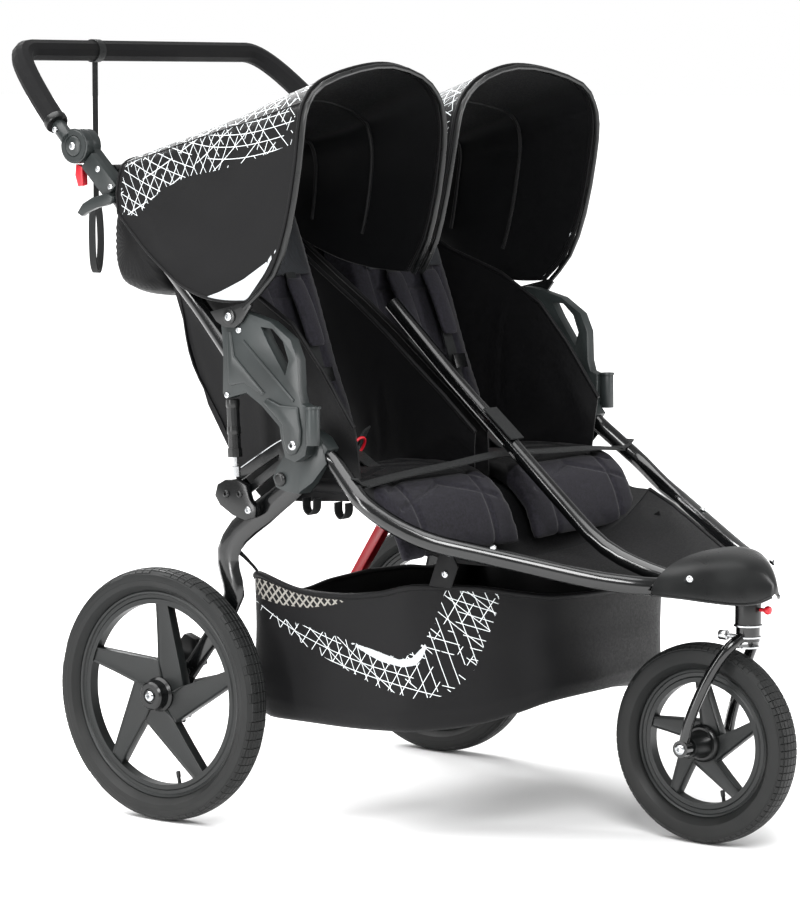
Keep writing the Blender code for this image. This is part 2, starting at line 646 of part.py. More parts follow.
def make_seats():
    for name, sign in SIDES:
        sections = [
            seat_section(-0.172, 0.016, 0.322, 0.303, 0.503, 0.530, 0.735, 0.805, sign),
            seat_section(-0.230, 0.016, 0.323, 0.304, 0.504, 0.534, 0.690, 0.770, sign),
            seat_section(-0.285, 0.016, 0.323, 0.304, 0.508, 0.538, 0.645, 0.700, sign),
            seat_section(-0.345, 0.016, 0.323, 0.304, 0.512, 0.541, 0.592, 0.622, sign),
        ]
        tub = loft("tub", sections)

        profile = [(0.505, -0.164, -0.122), (0.600, -0.142, -0.088), (0.700, -0.104, -0.024),
                   (0.800, -0.070, 0.002), (0.900, -0.032, 0.034), (0.945, -0.016, 0.030)]
        rings = []
        for z, front, rear in profile:
            round_off = 0.020
            ring = [(0.036, front + 0.012), (0.036 + round_off, front), (0.312 - round_off, front),
                    (0.312, front + 0.012), (0.312, rear - 0.010), (0.312 - round_off, rear),
                    (0.036 + round_off, rear), (0.036, rear - 0.010)]
            rings.append([Vector((sign * x, y, z)) for x, y in ring])
        place(loft(f"seat_back_{name}", rings), f"seat_back_{name}", HEATHER_FABRIC)

        buckle_rings = []
        for z, grow in ((0.5450, 0.0), (0.5530, 0.003), (0.5650, 0.001)):
            buckle_rings.append([
                Vector((sign * (0.175 + x * (0.020 + grow)), -0.228 + y * (0.014 + grow), z))
                for x, y in ((-1, -0.6), (-0.6, -1), (0.6, -1), (1, -0.6), (1, 0.6), (0.6, 1),
                             (-0.6, 1), (-1, 0.6))
            ])
        place(loft(f"harness_buckle_{name}", buckle_rings), "main_frame", BLACK_PLASTIC)

        apron = []
        for y, floor, lift in ((-0.3300, 0.514, 0.020), (-0.3900, 0.500, 0.020),
                               (-0.4150, 0.462, 0.020), (-0.4320, 0.425, 0.020)):
            outer = 0.320 - max(0.0, -0.39 - y) * 1.2
            apron.append([Vector((sign * x, y, z)) for x, z in (
                (0.020, floor), (outer, floor), (outer, floor + lift), (0.020, floor + lift))])
        tub = join_all(f"seat_tub_{name}", [tub, loft("leg_pad", apron)])
        place(tub, "main_frame", BLACK_FABRIC)


def make_footwell():
    """A shallow fabric tray slung between the two front tubes."""
    stations = [(-0.4400, 0.3330, 0.478, 0.400), (-0.5000, 0.3100, 0.456, 0.400),
                (-0.5600, 0.2690, 0.440, 0.398), (-0.6200, 0.2290, 0.423, 0.385),
                (-0.6900, 0.1800, 0.405, 0.373), (-0.7450, 0.1340, 0.397, 0.370)]
    wall = 0.005
    rings = []
    for y, half, edge, floor in stations:
        ring = [(-half, edge), (-half + 0.030, floor), (half - 0.030, floor), (half, edge),
                (half - wall, edge), (half - 0.032 - wall, floor + wall),
                (-half + 0.032 + wall, floor + wall), (-half + wall, edge)]
        rings.append([Vector((x, y, z)) for x, z in ring])
    place(loft("footwell", rings), "main_frame", BLACK_FABRIC)

    strap = [(0.3450, -0.372, 0.5350), (0.180, -0.378, 0.5520), (0.0, -0.380, 0.5650)]
    line = mirrored(strap, -1.0) + list(reversed(mirrored(strap[:-1], 1.0)))
    rings = []
    for point in line:
        rings.append([point + Vector((0, y, z)) for y, z in
                      ((-0.012, 0.0), (0.012, 0.0), (0.012, 0.0020), (-0.012, 0.0020))])
    place(loft("front_strap", rings), "main_frame", WEBBING)


def make_basket():
    """A fabric basket, open on top, hung between the rear axle and the front tubes."""
    half_outline = [(0.180, -0.126, 0.345, 0.164), (0.270, -0.122, 0.372, 0.165),
                    (0.298, -0.140, 0.388, 0.166), (0.300, -0.300, 0.380, 0.166),
                    (0.286, -0.420, 0.384, 0.170), (0.240, -0.510, 0.388, 0.184),
                    (0.135, -0.583, 0.372, 0.212)]
    outline = [(-x, y, top, low) for x, y, top, low in half_outline]
    outline += [(x, y, top, low) for x, y, top, low in reversed(half_outline)]
    middle = -0.350
    rows = []
    for level in (0.0, 0.12, 1.0):
        ring = []
        for x, y, top, low in outline:
            inset = 0.94 if level == 0.0 else 1.0
            ring.append(Vector((x * inset, middle + (y - middle) * inset, low + (top - low) * level)))
        rows.append(ring)
    basket = loft("basket", rows, capped=False)
    bm = bmesh.new()
    bm.from_mesh(basket.data)
    bm.verts.ensure_lookup_table()
    bm.faces.new(bm.verts[:len(outline)])
    bmesh.ops.recalc_face_normals(bm, faces=bm.faces)
    bm.to_mesh(basket.data)
    bm.free()
    thicken(basket, 0.0050)
    place(basket, "main_frame", BLACK_FABRIC)

    pocket_outline = [(0.045, 0.803), (0.045, 0.870), (0.092, 0.912), (0.095, 0.972), (0.125, 0.974),
                      (0.156, 0.940), (0.163, 0.885), (0.157, 0.832), (0.135, 0.806), (0.080, 0.797)]
    centre_y, centre_z = 0.105, 0.885
    rings = []
    for x, shrink in ((-0.305, 0.80), (-0.285, 1.0), (0.285, 1.0), (0.305, 0.80)):
        rings.append([Vector((x, centre_y + (y - centre_y) * shrink, centre_z + (z - centre_z) * shrink))
                      for y, z in pocket_outline])
    place(loft("rear_pocket", rings), "upper_frame", BLACK_FABRIC)


# Fork


def make_fork():
    origin = Vector(STEERING_POINT)
    crown_top = origin - STEERING_AXIS * (0.0180 + GAP)
    crown = rod("crown", crown_top - STEERING_AXIS * 0.0240, crown_top, 0.0180, 20)
    pieces = [crown]
    for sign in (-1.0, 1.0):
        leg = [(0.012, -0.826, 0.318), (0.034, -0.818, 0.305), (0.046, -0.800, 0.275),
               (0.056, -0.782, 0.235), (0.0610, -0.765, 0.190), (0.0615, -0.757, 0.156)]
        pieces.append(meshed(tube("leg", smooth_path(mirrored(leg, sign), 3), 0.0085, 2)))
        inner = (sign * 0.0530, *FRONT_AXLE[1:])
        outer = (sign * 0.0700, *FRONT_AXLE[1:])
        pieces.append(rod("dropout", inner, outer, 0.0130, 16))
    place(join_all("fork", pieces), "fork", FRAME_BLACK)

    knob = [(0, 0), (0, 0.0035), (0.0160, 0.0035), (0.0160, 0.0075), (0.0300, 0.0075), (0.0300, 0)]
    adjuster = turned("tracking_knob", knob, (0, -0.8095, 0.3160), (0, 1, 0), 12)
    place(adjuster, "tracking_knob", STEEL)


make_wheels()
make_rear()
make_main_frame()
make_nose_cover()
make_upper_frame()
make_canopies()
make_seats()
make_footwell()
make_basket()
make_fork()
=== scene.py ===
"""Looks of the double jogging stroller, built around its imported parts."""
import math

import bpy
from mathutils import Matrix, Vector, noise


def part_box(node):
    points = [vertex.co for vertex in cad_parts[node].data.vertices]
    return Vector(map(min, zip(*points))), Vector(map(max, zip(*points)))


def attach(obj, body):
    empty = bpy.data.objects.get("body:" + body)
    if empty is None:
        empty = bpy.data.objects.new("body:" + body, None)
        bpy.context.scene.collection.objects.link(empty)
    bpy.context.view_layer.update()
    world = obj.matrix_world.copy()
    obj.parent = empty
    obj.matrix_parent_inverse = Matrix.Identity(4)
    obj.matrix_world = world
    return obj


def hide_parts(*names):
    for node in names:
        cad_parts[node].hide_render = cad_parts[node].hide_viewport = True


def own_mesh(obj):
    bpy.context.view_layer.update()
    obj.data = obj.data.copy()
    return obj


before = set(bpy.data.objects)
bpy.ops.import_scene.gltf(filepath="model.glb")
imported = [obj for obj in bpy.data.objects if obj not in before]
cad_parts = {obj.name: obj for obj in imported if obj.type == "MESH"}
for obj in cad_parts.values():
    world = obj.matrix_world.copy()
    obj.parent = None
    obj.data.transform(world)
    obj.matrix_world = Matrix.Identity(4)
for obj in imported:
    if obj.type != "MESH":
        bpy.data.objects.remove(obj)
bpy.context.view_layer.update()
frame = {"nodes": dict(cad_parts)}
axle_low, axle_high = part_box("rear_axle")
REAR_AXLE_Y = (axle_low.y + axle_high.y) / 2
SIDES = (("left", -1.0), ("right", 1.0))


def at(x, y, z):
    """A point given from the rear axle, moved to the frame's own origin."""
    return Vector((x, y + REAR_AXLE_Y, z))


# Camera, floor and studio lights

camera_data = bpy.data.cameras.new("studio_camera")
camera_data.lens = 141.84
camera = bpy.data.objects.new("studio_camera", camera_data)
bpy.context.scene.collection.objects.link(camera)
camera.location = at(-4.431, -3.527, 1.123)
camera.rotation_euler = (math.radians(84.14), 0.0, math.radians(-52.99))
bpy.context.scene.camera = camera

world = bpy.data.worlds.new("studio")
world.use_nodes = True
backdrop = world.node_tree.nodes["Background"]
backdrop.inputs["Color"].default_value = (1.0, 1.0, 1.0, 1.0)
sight = world.node_tree.nodes.new("ShaderNodeLightPath")
backdrop_level = world.node_tree.nodes.new("ShaderNodeMapRange")
backdrop_level.inputs["To Min"].default_value = 0.42
backdrop_level.inputs["To Max"].default_value = 1.0
world.node_tree.links.new(sight.outputs["Is Camera Ray"], backdrop_level.inputs["Value"])
world.node_tree.links.new(backdrop_level.outputs["Result"], backdrop.inputs["Strength"])
bpy.context.scene.world = world
bpy.context.scene.view_settings.view_transform = "Standard"


def softbox(name, place, aim, size, power):
    data = bpy.data.lights.new(name, "AREA")
    data.shape = "RECTANGLE"
    data.size, data.size_y = size
    data.energy = power
    light = bpy.data.objects.new(name, data)
    bpy.context.scene.collection.objects.link(light)
    light.location = place
    light.rotation_euler = (Vector(aim) - Vector(place)).to_track_quat("-Z", "Y").to_euler()


softbox("key_softbox", (-2.6, -2.4, 2.9), (0.0, 0.0, 0.6), (1.6, 1.6), 150.0)
softbox("fill_softbox", (1.8, -3.4, 1.6), (0.0, 0.0, 0.6), (0.8, 2.2), 60.0)
softbox("back_softbox", (1.2, 3.0, 2.6), (0.0, 0.0, 0.8), (2.4, 1.0), 110.0)
softbox("side_strip", (-3.2, 0.9, 1.3), (0.0, 0.0, 0.7), (0.4, 2.4), 60.0)
overhead_data = bpy.data.lights.new("overhead_panel", "SUN")
overhead_data.energy = 5.0
overhead_data.angle = math.radians(70.0)
overhead = bpy.data.objects.new("overhead_panel", overhead_data)
bpy.context.scene.collection.objects.link(overhead)
overhead.rotation_euler = (math.radians(-14.0), math.radians(-12.0), 0.0)


# Finishes


def node_group(name, inputs, outputs):
    """An empty group of shader nodes with named number inputs and outputs."""
    group = bpy.data.node_groups.new(name, "ShaderNodeTree")
    for label, value in inputs:
        socket = group.interface.new_socket(label, in_out="INPUT", socket_type="NodeSocketFloat")
        socket.default_value = value
    for label in outputs:
        group.interface.new_socket(label, in_out="OUTPUT", socket_type="NodeSocketFloat")
    entry = group.nodes.new("NodeGroupInput")
    leave = group.nodes.new("NodeGroupOutput")
    return group, entry, leave


def math_node(tree, operation, first, second=None, third=None):
    node = tree.nodes.new("ShaderNodeMath")
    node.operation = operation
    for socket, value in zip(node.inputs, (first, second, third)):
        if isinstance(value, (int, float)):
            socket.default_value = value
        elif value is not None:
            tree.links.new(value, socket)
    return node.outputs[0]


def make_moulded_grain():
    group, entry, leave = node_group("Moulded Grain", [("Scale", 900.0)], ["Height", "Mottle"])
    place = group.nodes.new("ShaderNodeTexCoord").outputs["Object"]
    fine = group.nodes.new("ShaderNodeTexNoise")
    fine.inputs["Detail"].default_value = 3.0
    group.links.new(place, fine.inputs["Vector"])
    group.links.new(entry.outputs["Scale"], fine.inputs["Scale"])
    broad = group.nodes.new("ShaderNodeTexNoise")
    broad.inputs["Scale"].default_value = 14.0
    broad.inputs["Detail"].default_value = 5.0
    group.links.new(place, broad.inputs["Vector"])
    group.links.new(fine.outputs["Fac"], leave.inputs["Height"])
    group.links.new(broad.outputs["Fac"], leave.inputs["Mottle"])
    return group


def make_cloth_weave():
    group, entry, leave = node_group("Cloth Weave", [("Threads", 900.0)], ["Height", "Slub"])
    place = group.nodes.new("ShaderNodeTexCoord").outputs["Object"]
    split = group.nodes.new("ShaderNodeSeparateXYZ")
    group.links.new(place, split.inputs[0])
    x, y, z = split.outputs
    across = math_node(group, "ADD", x, y)
    along = math_node(group, "ADD", z, math_node(group, "MULTIPLY", y, 0.37))
    pitch = math_node(group, "MULTIPLY", entry.outputs["Threads"], 2 * math.pi)
    warp = math_node(group, "SINE", math_node(group, "MULTIPLY", across, pitch))
    weft = math_node(group, "SINE", math_node(group, "MULTIPLY", along, pitch))
    height = math_node(group, "MULTIPLY", warp, weft)
    streaks = group.nodes.new("ShaderNodeTexNoise")
    streaks.inputs["Scale"].default_value = 260.0
    streaks.inputs["Detail"].default_value = 4.0
    group.links.new(place, streaks.inputs["Vector"])
    group.links.new(height, leave.inputs["Height"])
    group.links.new(streaks.outputs["Fac"], leave.inputs["Slub"])
    return group


def make_settled_dust():
    """A thin film low down, thickest near the floor."""
    group, entry, leave = node_group("Settled Dust", [("Top", 0.25)], ["Film"])
    place = group.nodes.new("ShaderNodeTexCoord").outputs["Object"]
    split = group.nodes.new("ShaderNodeSeparateXYZ")
    group.links.new(place, split.inputs[0])
    reach = math_node(group, "DIVIDE", split.outputs[2], entry.outputs["Top"])
    low = math_node(group, "SUBTRACT", 1.0, reach)
    low.node.use_clamp = True
    patches = group.nodes.new("ShaderNodeTexNoise")
    patches.inputs["Scale"].default_value = 35.0
    patches.inputs["Detail"].default_value = 6.0
    group.links.new(place, patches.inputs["Vector"])
    group.links.new(math_node(group, "MULTIPLY", low, patches.outputs["Fac"]), leave.inputs["Film"])
    return group


def make_crossed_lines():
    """Three sets of fine straight lines that cross and break off, from a map in metres."""
    group, entry, leave = node_group("Crossed Lines", [("Width", 0.0010)], ["Line"])
    place = group.nodes.new("ShaderNodeUVMap")
    place.uv_map = "cloth"
    split = group.nodes.new("ShaderNodeSeparateXYZ")
    group.links.new(place.outputs[0], split.inputs[0])
    total = None
    for degrees, spacing, seed in ((18.0, 0.017, 3.1), (74.0, 0.015, 7.7), (-38.0, 0.020, 12.4),
                                   (51.0, 0.026, 20.9)):
        angle = math.radians(degrees)
        u = math_node(group, "MULTIPLY", split.outputs[0], math.cos(angle) / spacing)
        reach = math_node(group, "MULTIPLY_ADD", split.outputs[1], math.sin(angle) / spacing, u)
        middle = math_node(group, "SUBTRACT", math_node(group, "FRACT", reach), 0.5)
        gap = math_node(group, "MULTIPLY", math_node(group, "ABSOLUTE", middle), spacing * 2)
        line = math_node(group, "LESS_THAN", gap, entry.outputs["Width"])
        cells = group.nodes.new("ShaderNodeTexVoronoi")
        cells.inputs["Scale"].default_value = 22.0
        shift = group.nodes.new("ShaderNodeVectorMath")
        shift.operation = "ADD"
        shift.inputs[1].default_value = (seed, seed, 0.0)
        group.links.new(place.outputs[0], shift.inputs[0])
        group.links.new(shift.outputs[0], cells.inputs["Vector"])
        tone = group.nodes.new("ShaderNodeSeparateColor")
        group.links.new(cells.outputs["Color"], tone.inputs[0])
        kept = math_node(group, "GREATER_THAN", tone.outputs[0], 0.28)
        line = math_node(group, "MULTIPLY", line, kept)
        total = line if total is None else math_node(group, "MAXIMUM", total, line)
    group.links.new(total, leave.inputs["Line"])
    return group


MOULDED_GRAIN = make_moulded_grain()
CLOTH_WEAVE = make_cloth_weave()
SETTLED_DUST = make_settled_dust()
CROSSED_LINES = make_crossed_lines()


def blend_colour(tree, factor, first, second):
    mix = tree.nodes.new("ShaderNodeMix")
    mix.data_type = "RGBA"
    tree.links.new(factor, mix.inputs[0])
    for socket, value in ((mix.inputs[6], first), (mix.inputs[7], second)):
        if isinstance(value, tuple):
            socket.default_value = (*value, 1.0)
        else:
            tree.links.new(value, socket)
    return mix.outputs[2]


def spread(tree, value, low, high, start=0.35, end=0.65):
    """Turns a value between start and end into one between low and high."""
    node = tree.nodes.new("ShaderNodeMapRange")
    tree.links.new(value, node.inputs["Value"])
    node.inputs["From Min"].default_value = start
    node.inputs["From Max"].default_value = end
    node.inputs["To Min"].default_value = low
    node.inputs["To Max"].default_value = high
    return node.outputs["Result"]


def place_group(tree, group, **values):
    node = tree.nodes.new("ShaderNodeGroup")
    node.node_tree = group
    for label, value in values.items():
        node.inputs[label].default_value = value
    return node


def finish(name, dark, light, rough, relief, metallic=0.0, coat=0.0, sheen=0.0, shine=0.5,
           grain=None, threads=None, dust=0.0):
    """One finish: two close tones, a roughness range, and a fine relief of grain or weave."""
    material = bpy.data.materials.new(name)
    material.use_nodes = True
    tree = material.node_tree
    shader = tree.nodes["Principled BSDF"]
    shader.inputs["Metallic"].default_value = metallic
    shader.inputs["Specular IOR Level"].default_value = shine
    shader.inputs["Coat Weight"].default_value = coat
    shader.inputs["Coat Roughness"].default_value = 0.06
    shader.inputs["Sheen Weight"].default_value = sheen
    shader.inputs["Sheen Roughness"].default_value = 0.45
    if threads:
        surface = place_group(tree, CLOTH_WEAVE, Threads=threads)
        tone = surface.outputs["Slub"]
    else:
        surface = place_group(tree, MOULDED_GRAIN, Scale=grain)
        tone = surface.outputs["Mottle"]
    colour = blend_colour(tree, spread(tree, tone, 0.0, 1.0), dark, light)
    if dust:
        film = place_group(tree, SETTLED_DUST, Top=0.30)
        amount = math_node(tree, "MULTIPLY", film.outputs["Film"], dust)
        colour = blend_colour(tree, amount, colour, (0.16, 0.15, 0.14))
    tree.links.new(colour, shader.inputs["Base Color"])
    tree.links.new(spread(tree, tone, rough[0], rough[1]), shader.inputs["Roughness"])
    bump = tree.nodes.new("ShaderNodeBump")
    bump.inputs["Strength"].default_value = 0.35
    bump.inputs["Distance"].default_value = relief
    tree.links.new(surface.outputs["Height"], bump.inputs["Height"])
    tree.links.new(bump.outputs["Normal"], shader.inputs["Normal"])
    return material


GLOSS_ENAMEL = finish("gloss_black_enamel", (0.0015, 0.0017, 0.0018), (0.003, 0.0033, 0.0035),
                      (0.14, 0.22), 0.00002, coat=0.35, shine=0.4, grain=1500.0)
BRACKET_RESIN = finish("satin_grey_resin", (0.010, 0.0125, 0.0125), (0.017, 0.021, 0.021),
                       (0.32, 0.42), 0.00006, shine=0.4, grain=1400.0)
BLACK_RESIN = finish("satin_black_resin", (0.002, 0.0022, 0.0024), (0.0045, 0.005, 0.005),
                     (0.24, 0.36), 0.00006, shine=0.4, grain=1400.0)
WHEEL_RESIN = finish("wheel_resin", (0.0032, 0.0040, 0.0040), (0.0062, 0.0074, 0.0074),
                     (0.34, 0.46), 0.00008, shine=0.35, grain=1200.0, dust=0.02)
TYRE_RUBBER = finish("tyre_rubber", (0.0025, 0.0030, 0.0030), (0.0052, 0.0058, 0.0058),
                     (0.50, 0.66), 0.00012, shine=0.30, grain=900.0, dust=0.05)
GRIP_FOAM = finish("grip_foam", (0.002, 0.002, 0.0022), (0.004, 0.004, 0.0045),
                   (0.75, 0.9), 0.0003, shine=0.2, grain=700.0)
BLACK_CLOTH = finish("black_twill", (0.0008, 0.0008, 0.0010), (0.0022, 0.0022, 0.0027),
                     (0.46, 0.60), 0.00015, sheen=0.03, shine=0.16, threads=520.0)
LINING_CLOTH = finish("smooth_lining", (0.0006, 0.0006, 0.0008), (0.0018, 0.0020, 0.0024),
                      (0.36, 0.48), 0.0001, sheen=0.03, shine=0.2, threads=700.0)
HEATHER_CLOTH = finish("heather_pad_cloth", (0.0050, 0.0046, 0.0068), (0.0155, 0.0145, 0.0200),
                       (0.72, 0.88), 0.00025, sheen=0.10, shine=0.15, threads=420.0)
SPACER_MESH = finish("spacer_mesh", (0.005, 0.0055, 0.007), (0.016, 0.018, 0.021),
                     (0.65, 0.85), 0.0006, sheen=0.08, shine=0.2, threads=240.0)
WEBBING = finish("ribbed_webbing", (0.0020, 0.0023, 0.0025), (0.0065, 0.0075, 0.0078),
                 (0.52, 0.68), 0.0004, sheen=0.06, shine=0.25, threads=330.0)
STEEL = finish("bright_steel", (0.42, 0.43, 0.44), (0.58, 0.59, 0.60),
               (0.18, 0.32), 0.00002, metallic=1.0, grain=2000.0)
RED_RESIN = finish("red_resin", (0.38, 0.004, 0.012), (0.50, 0.007, 0.018),
                   (0.32, 0.42), 0.00005, grain=1400.0)


def make_printed_cloth(name, base, has_net):
    """Cloth with printed lines, a silver shape and a net panel, each inside its own zone."""
    material = base.copy()
    material.name = name
    tree = material.node_tree
    shader = tree.nodes["Principled BSDF"]
    cloth = shader.inputs["Base Color"].links[0].from_socket
    lines = place_group(tree, CROSSED_LINES, Width=0.0010)
    zones = {}
    for zone in ("print_zone", "silver_zone", "net_zone"):
        reader = tree.nodes.new("ShaderNodeAttribute")
        reader.attribute_name = zone
        zones[zone] = math_node(tree, "GREATER_THAN", reader.outputs["Fac"], 0.0)
    drawn = math_node(tree, "MULTIPLY", lines.outputs["Line"], zones["print_zone"])
    colour = blend_colour(tree, drawn, cloth, (0.62, 0.65, 0.66))
    if has_net:
        split = tree.nodes.new("ShaderNodeSeparateXYZ")
        place = tree.nodes.new("ShaderNodeUVMap")
        place.uv_map = "cloth"
        tree.links.new(place.outputs[0], split.inputs[0])
        threads = []
        for u, v in ((1.0, 0.6), (1.0, -0.6)):
            run = math_node(tree, "MULTIPLY", split.outputs[0], u * 230.0)
            run = math_node(tree, "MULTIPLY_ADD", split.outputs[1], v * 380.0, run)
            run = math_node(tree, "ABSOLUTE", math_node(tree, "SINE", run))
            threads.append(run)
        net = math_node(tree, "LESS_THAN", math_node(tree, "MINIMUM", *threads), 0.42)
        net = math_node(tree, "MULTIPLY", net, zones["net_zone"])
        colour = blend_colour(tree, net, colour, (0.23, 0.22, 0.20))
    colour = blend_colour(tree, zones["silver_zone"], colour, (0.42, 0.44, 0.45))
    tree.links.new(colour, shader.inputs["Base Color"])
    return material


CANOPY_CLOTH = make_printed_cloth("canopy_cloth", BLACK_CLOTH, False)
BASKET_CLOTH = make_printed_cloth("basket_cloth", BLACK_CLOTH, True)


# Ways of making and finishing a piece


def only(piece):
    """Leaves object mode's selection holding this piece alone."""
    bpy.ops.object.select_all(action="DESELECT")
    piece.select_set(True)
    bpy.context.view_layer.objects.active = piece


def edit_all(piece):
    only(piece)
    bpy.ops.object.mode_set(mode="EDIT")
    bpy.ops.mesh.select_all(action="SELECT")


def leave_edit():
    bpy.ops.object.mode_set(mode="OBJECT")


def apply_modifier(piece, kind, **settings):
    only(piece)
    modifier = piece.modifiers.new(kind.lower(), kind)
    for label, value in settings.items():
        setattr(modifier, label, value)
    bpy.ops.object.modifier_apply(modifier=modifier.name)


def dress(piece, body, material, nodes=(), angle=40.0):
    """The last step of each piece: shading, finish, the body it rides on and what it stands for."""
    only(piece)
    bpy.ops.object.shade_smooth_by_angle(angle=math.radians(angle))
    if piece.data.materials:
        piece.data.materials[0] = material
    else:
        piece.data.materials.append(material)
    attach(piece, body)
    if nodes:
        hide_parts(*nodes)
    return piece


def shaped_grid(name, rows):
    """A grid whose points are moved to the given rows."""
    bpy.ops.object.select_all(action="DESELECT")
    bpy.ops.mesh.primitive_grid_add(
        x_subdivisions=len(rows[0]) - 1, y_subdivisions=len(rows) - 1, size=1.0
    )
    piece = bpy.context.object
    piece.name = name
    for vertex, point in zip(piece.data.vertices, [p for row in rows for p in row]):
        vertex.co = point
    piece.data.uv_layers[0].name = "cloth"
    return piece


def loft(name, rings, filled=True):
    """A closed skin over rings of points."""
    piece = shaped_grid(name, [list(ring) + [ring[0]] for ring in rings])
    edit_all(piece)
    bpy.ops.mesh.remove_doubles(threshold=0.00002)
    if filled:
        bpy.ops.mesh.fill_holes(sides=0)
    bpy.ops.mesh.select_all(action="SELECT")
    bpy.ops.mesh.normals_make_consistent(inside=False)
    leave_edit()
    return piece


def turned(name, profile, start, direction, steps=32, ring=False):
    """A profile of (distance along the axis, radius), turned about the axis."""
    direction = Vector(direction).normalized()
    side = direction.orthogonal().normalized()
    up = direction.cross(side)
    rings = []
    for distance, radius in profile + ([profile[0]] if ring else []):
        centre = Vector(start) + direction * distance
        rings.append([
            centre + radius * (math.cos(2 * math.pi * k / steps) * side
                               + math.sin(2 * math.pi * k / steps) * up)
            for k in range(steps)
        ])
    return loft(name, rings, filled=not ring)


def plate(name, outline, low_x, high_x, edge=0.0012, panel=None):
    """A flat plate from a (y, z) outline, with softened edges and an optional raised panel."""
    bpy.ops.object.select_all(action="DESELECT")
    bpy.ops.mesh.primitive_circle_add(vertices=len(outline), fill_type="NGON")
    piece = bpy.context.object
    piece.name = name
    for vertex, (y, z) in zip(piece.data.vertices, outline):
        vertex.co = at(low_x, y, z)
    edit_all(piece)
    bpy.ops.mesh.extrude_region_move(TRANSFORM_OT_translate={"value": (high_x - low_x, 0, 0)})
    if panel:
        bpy.ops.mesh.inset(thickness=panel[0], depth=0.0)
        bpy.ops.transform.translate(value=(math.copysign(panel[1], high_x - low_x), 0, 0))
    bpy.ops.mesh.select_all(action="SELECT")
    bpy.ops.mesh.normals_make_consistent(inside=False)
    leave_edit()
    if edge:
        apply_modifier(piece, "BEVEL", width=edge, segments=2, limit_method="ANGLE")
    return piece


def pipe(name, points, radius, sides=4, closed=False):
    """A round cord or tube along the points."""
    data = bpy.data.curves.new(name, "CURVE")
    data.dimensions = "3D"
    data.bevel_depth = radius
    data.bevel_resolution = sides
    data.use_fill_caps = True
    spline = data.splines.new("POLY")
    spline.points.add(len(points) - 1)
    spline.use_cyclic_u = closed
    for spot, point in zip(spline.points, points):
        spot.co = (*point, 1.0)
    piece = bpy.data.objects.new(name, data)
    bpy.context.scene.collection.objects.link(piece)
    only(piece)
    bpy.ops.object.convert(target="MESH")
    return bpy.context.object


def smooth_line(points, steps=6):
    """A Catmull-Rom line through the points."""
    points = [Vector(p) for p in points]
    ends = [2 * points[0] - points[1]] + points + [2 * points[-1] - points[-2]]
    line = []
    for a, b, c, d in zip(ends, ends[1:], ends[2:], ends[3:]):
        for step in range(steps):
            t = step / steps
            line.append(0.5 * (2 * b + (c - a) * t + (2 * a - 5 * b + 4 * c - d) * t**2
                               + (3 * b - 3 * c + d - a) * t**3))
    line.append(points[-1])
    return line


def side_line(points, sign, steps=5):
    """A smooth line through (x, y, z) points, on the side that the sign gives."""
    return smooth_line([at(sign * x, y, z) for x, y, z in points], steps)


def band(name, points, across, width, thickness=0.0016):
    """A flat strap along the points, its width along the given direction."""
    half = Vector(across).normalized() * width / 2
    rows = [[p - half, p - half * 0.9, p, p + half * 0.9, p + half] for p in points]
    piece = shaped_grid(name, rows)
    apply_modifier(piece, "SOLIDIFY", thickness=thickness, offset=0.0)
    return piece


def softened(node, name, width=0.0012, steps=2):
    """A copy of a hard part with its loose triangles merged and its edges rounded."""
    mesh = frame["nodes"][node].data.copy()
    mesh.materials.clear()
    piece = bpy.data.objects.new(name, mesh)
    bpy.context.scene.collection.objects.link(piece)
    only(piece)
    bpy.ops.mesh.customdata_custom_splitnormals_clear()
    edit_all(piece)
    bpy.ops.mesh.remove_doubles(threshold=0.00001)
    bpy.ops.mesh.dissolve_limited(angle_limit=math.radians(1.0))
    leave_edit()
    if width:
        apply_modifier(piece, "BEVEL", width=width, segments=steps, limit_method="ANGLE",
                       angle_limit=math.radians(38), use_clamp_overlap=True)
    return piece


def screw(name, place, direction, radius, body, material=None, socket=True):
    """A domed screw head with a round socket, or a plain dome when socket is false."""
    head = [(-0.002, 0.0), (-0.002, radius), (radius * 0.15, radius),
            (radius * 0.40, radius * 0.86), (radius * 0.52, radius * 0.55),
            (radius * 0.52, radius * 0.42)]
    if socket:
        head += [(radius * 0.10, radius * 0.40), (radius * 0.10, 0.0)]
    else:
        head += [(radius * 0.56, 0.0)]
    piece = turned(name, head, place, direction, 18)
    return dress(piece, body, material or STEEL)


SEAT_HEIGHT = 0.50
BASKET_HEIGHT = 0.38


def ride_flattening(piece):
    """Gives a soft piece its own copy of its mesh."""
    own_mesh(piece)
    return piece


def relax(piece, cap):
    """Fills a pad with air as cloth, keeps each point within the cap, and smooths it."""
    apply_modifier(piece, "REMESH", mode="VOXEL", voxel_size=0.006)
    start = [vertex.co.copy() for vertex in piece.data.vertices]
    scene = bpy.context.scene
    only(piece)
    modifier = piece.modifiers.new("cloth", "CLOTH")
    settings = modifier.settings
    settings.use_pressure = True
    settings.uniform_pressure_force = 4.0
    settings.effector_weights.gravity = 0.0
    settings.quality = 4
    modifier.point_cache.frame_start = 1
    modifier.point_cache.frame_end = 20
    for number in range(1, 21):
        scene.frame_set(number)
    bpy.ops.object.modifier_apply(modifier=modifier.name)
    scene.frame_set(1)
    for vertex, origin in zip(piece.data.vertices, start):
        move = vertex.co - origin
        if move.length > cap:
            vertex.co = origin + move.normalized() * cap
    apply_modifier(piece, "SMOOTH", factor=0.5, iterations=3)


def sheet(name, rows, thickness, body, material=BLACK_CLOTH, nodes=(), angle=60.0, anchor=None):
    """A sewn panel of cloth over rows of points; with an anchor height it gets its own copy of its
    mesh.
    """
    piece = shaped_grid(name, rows)
    apply_modifier(piece, "SOLIDIFY", thickness=thickness, offset=0.0)
    dress(piece, body, material, nodes, angle)
    if anchor:
        ride_flattening(piece)
    return piece


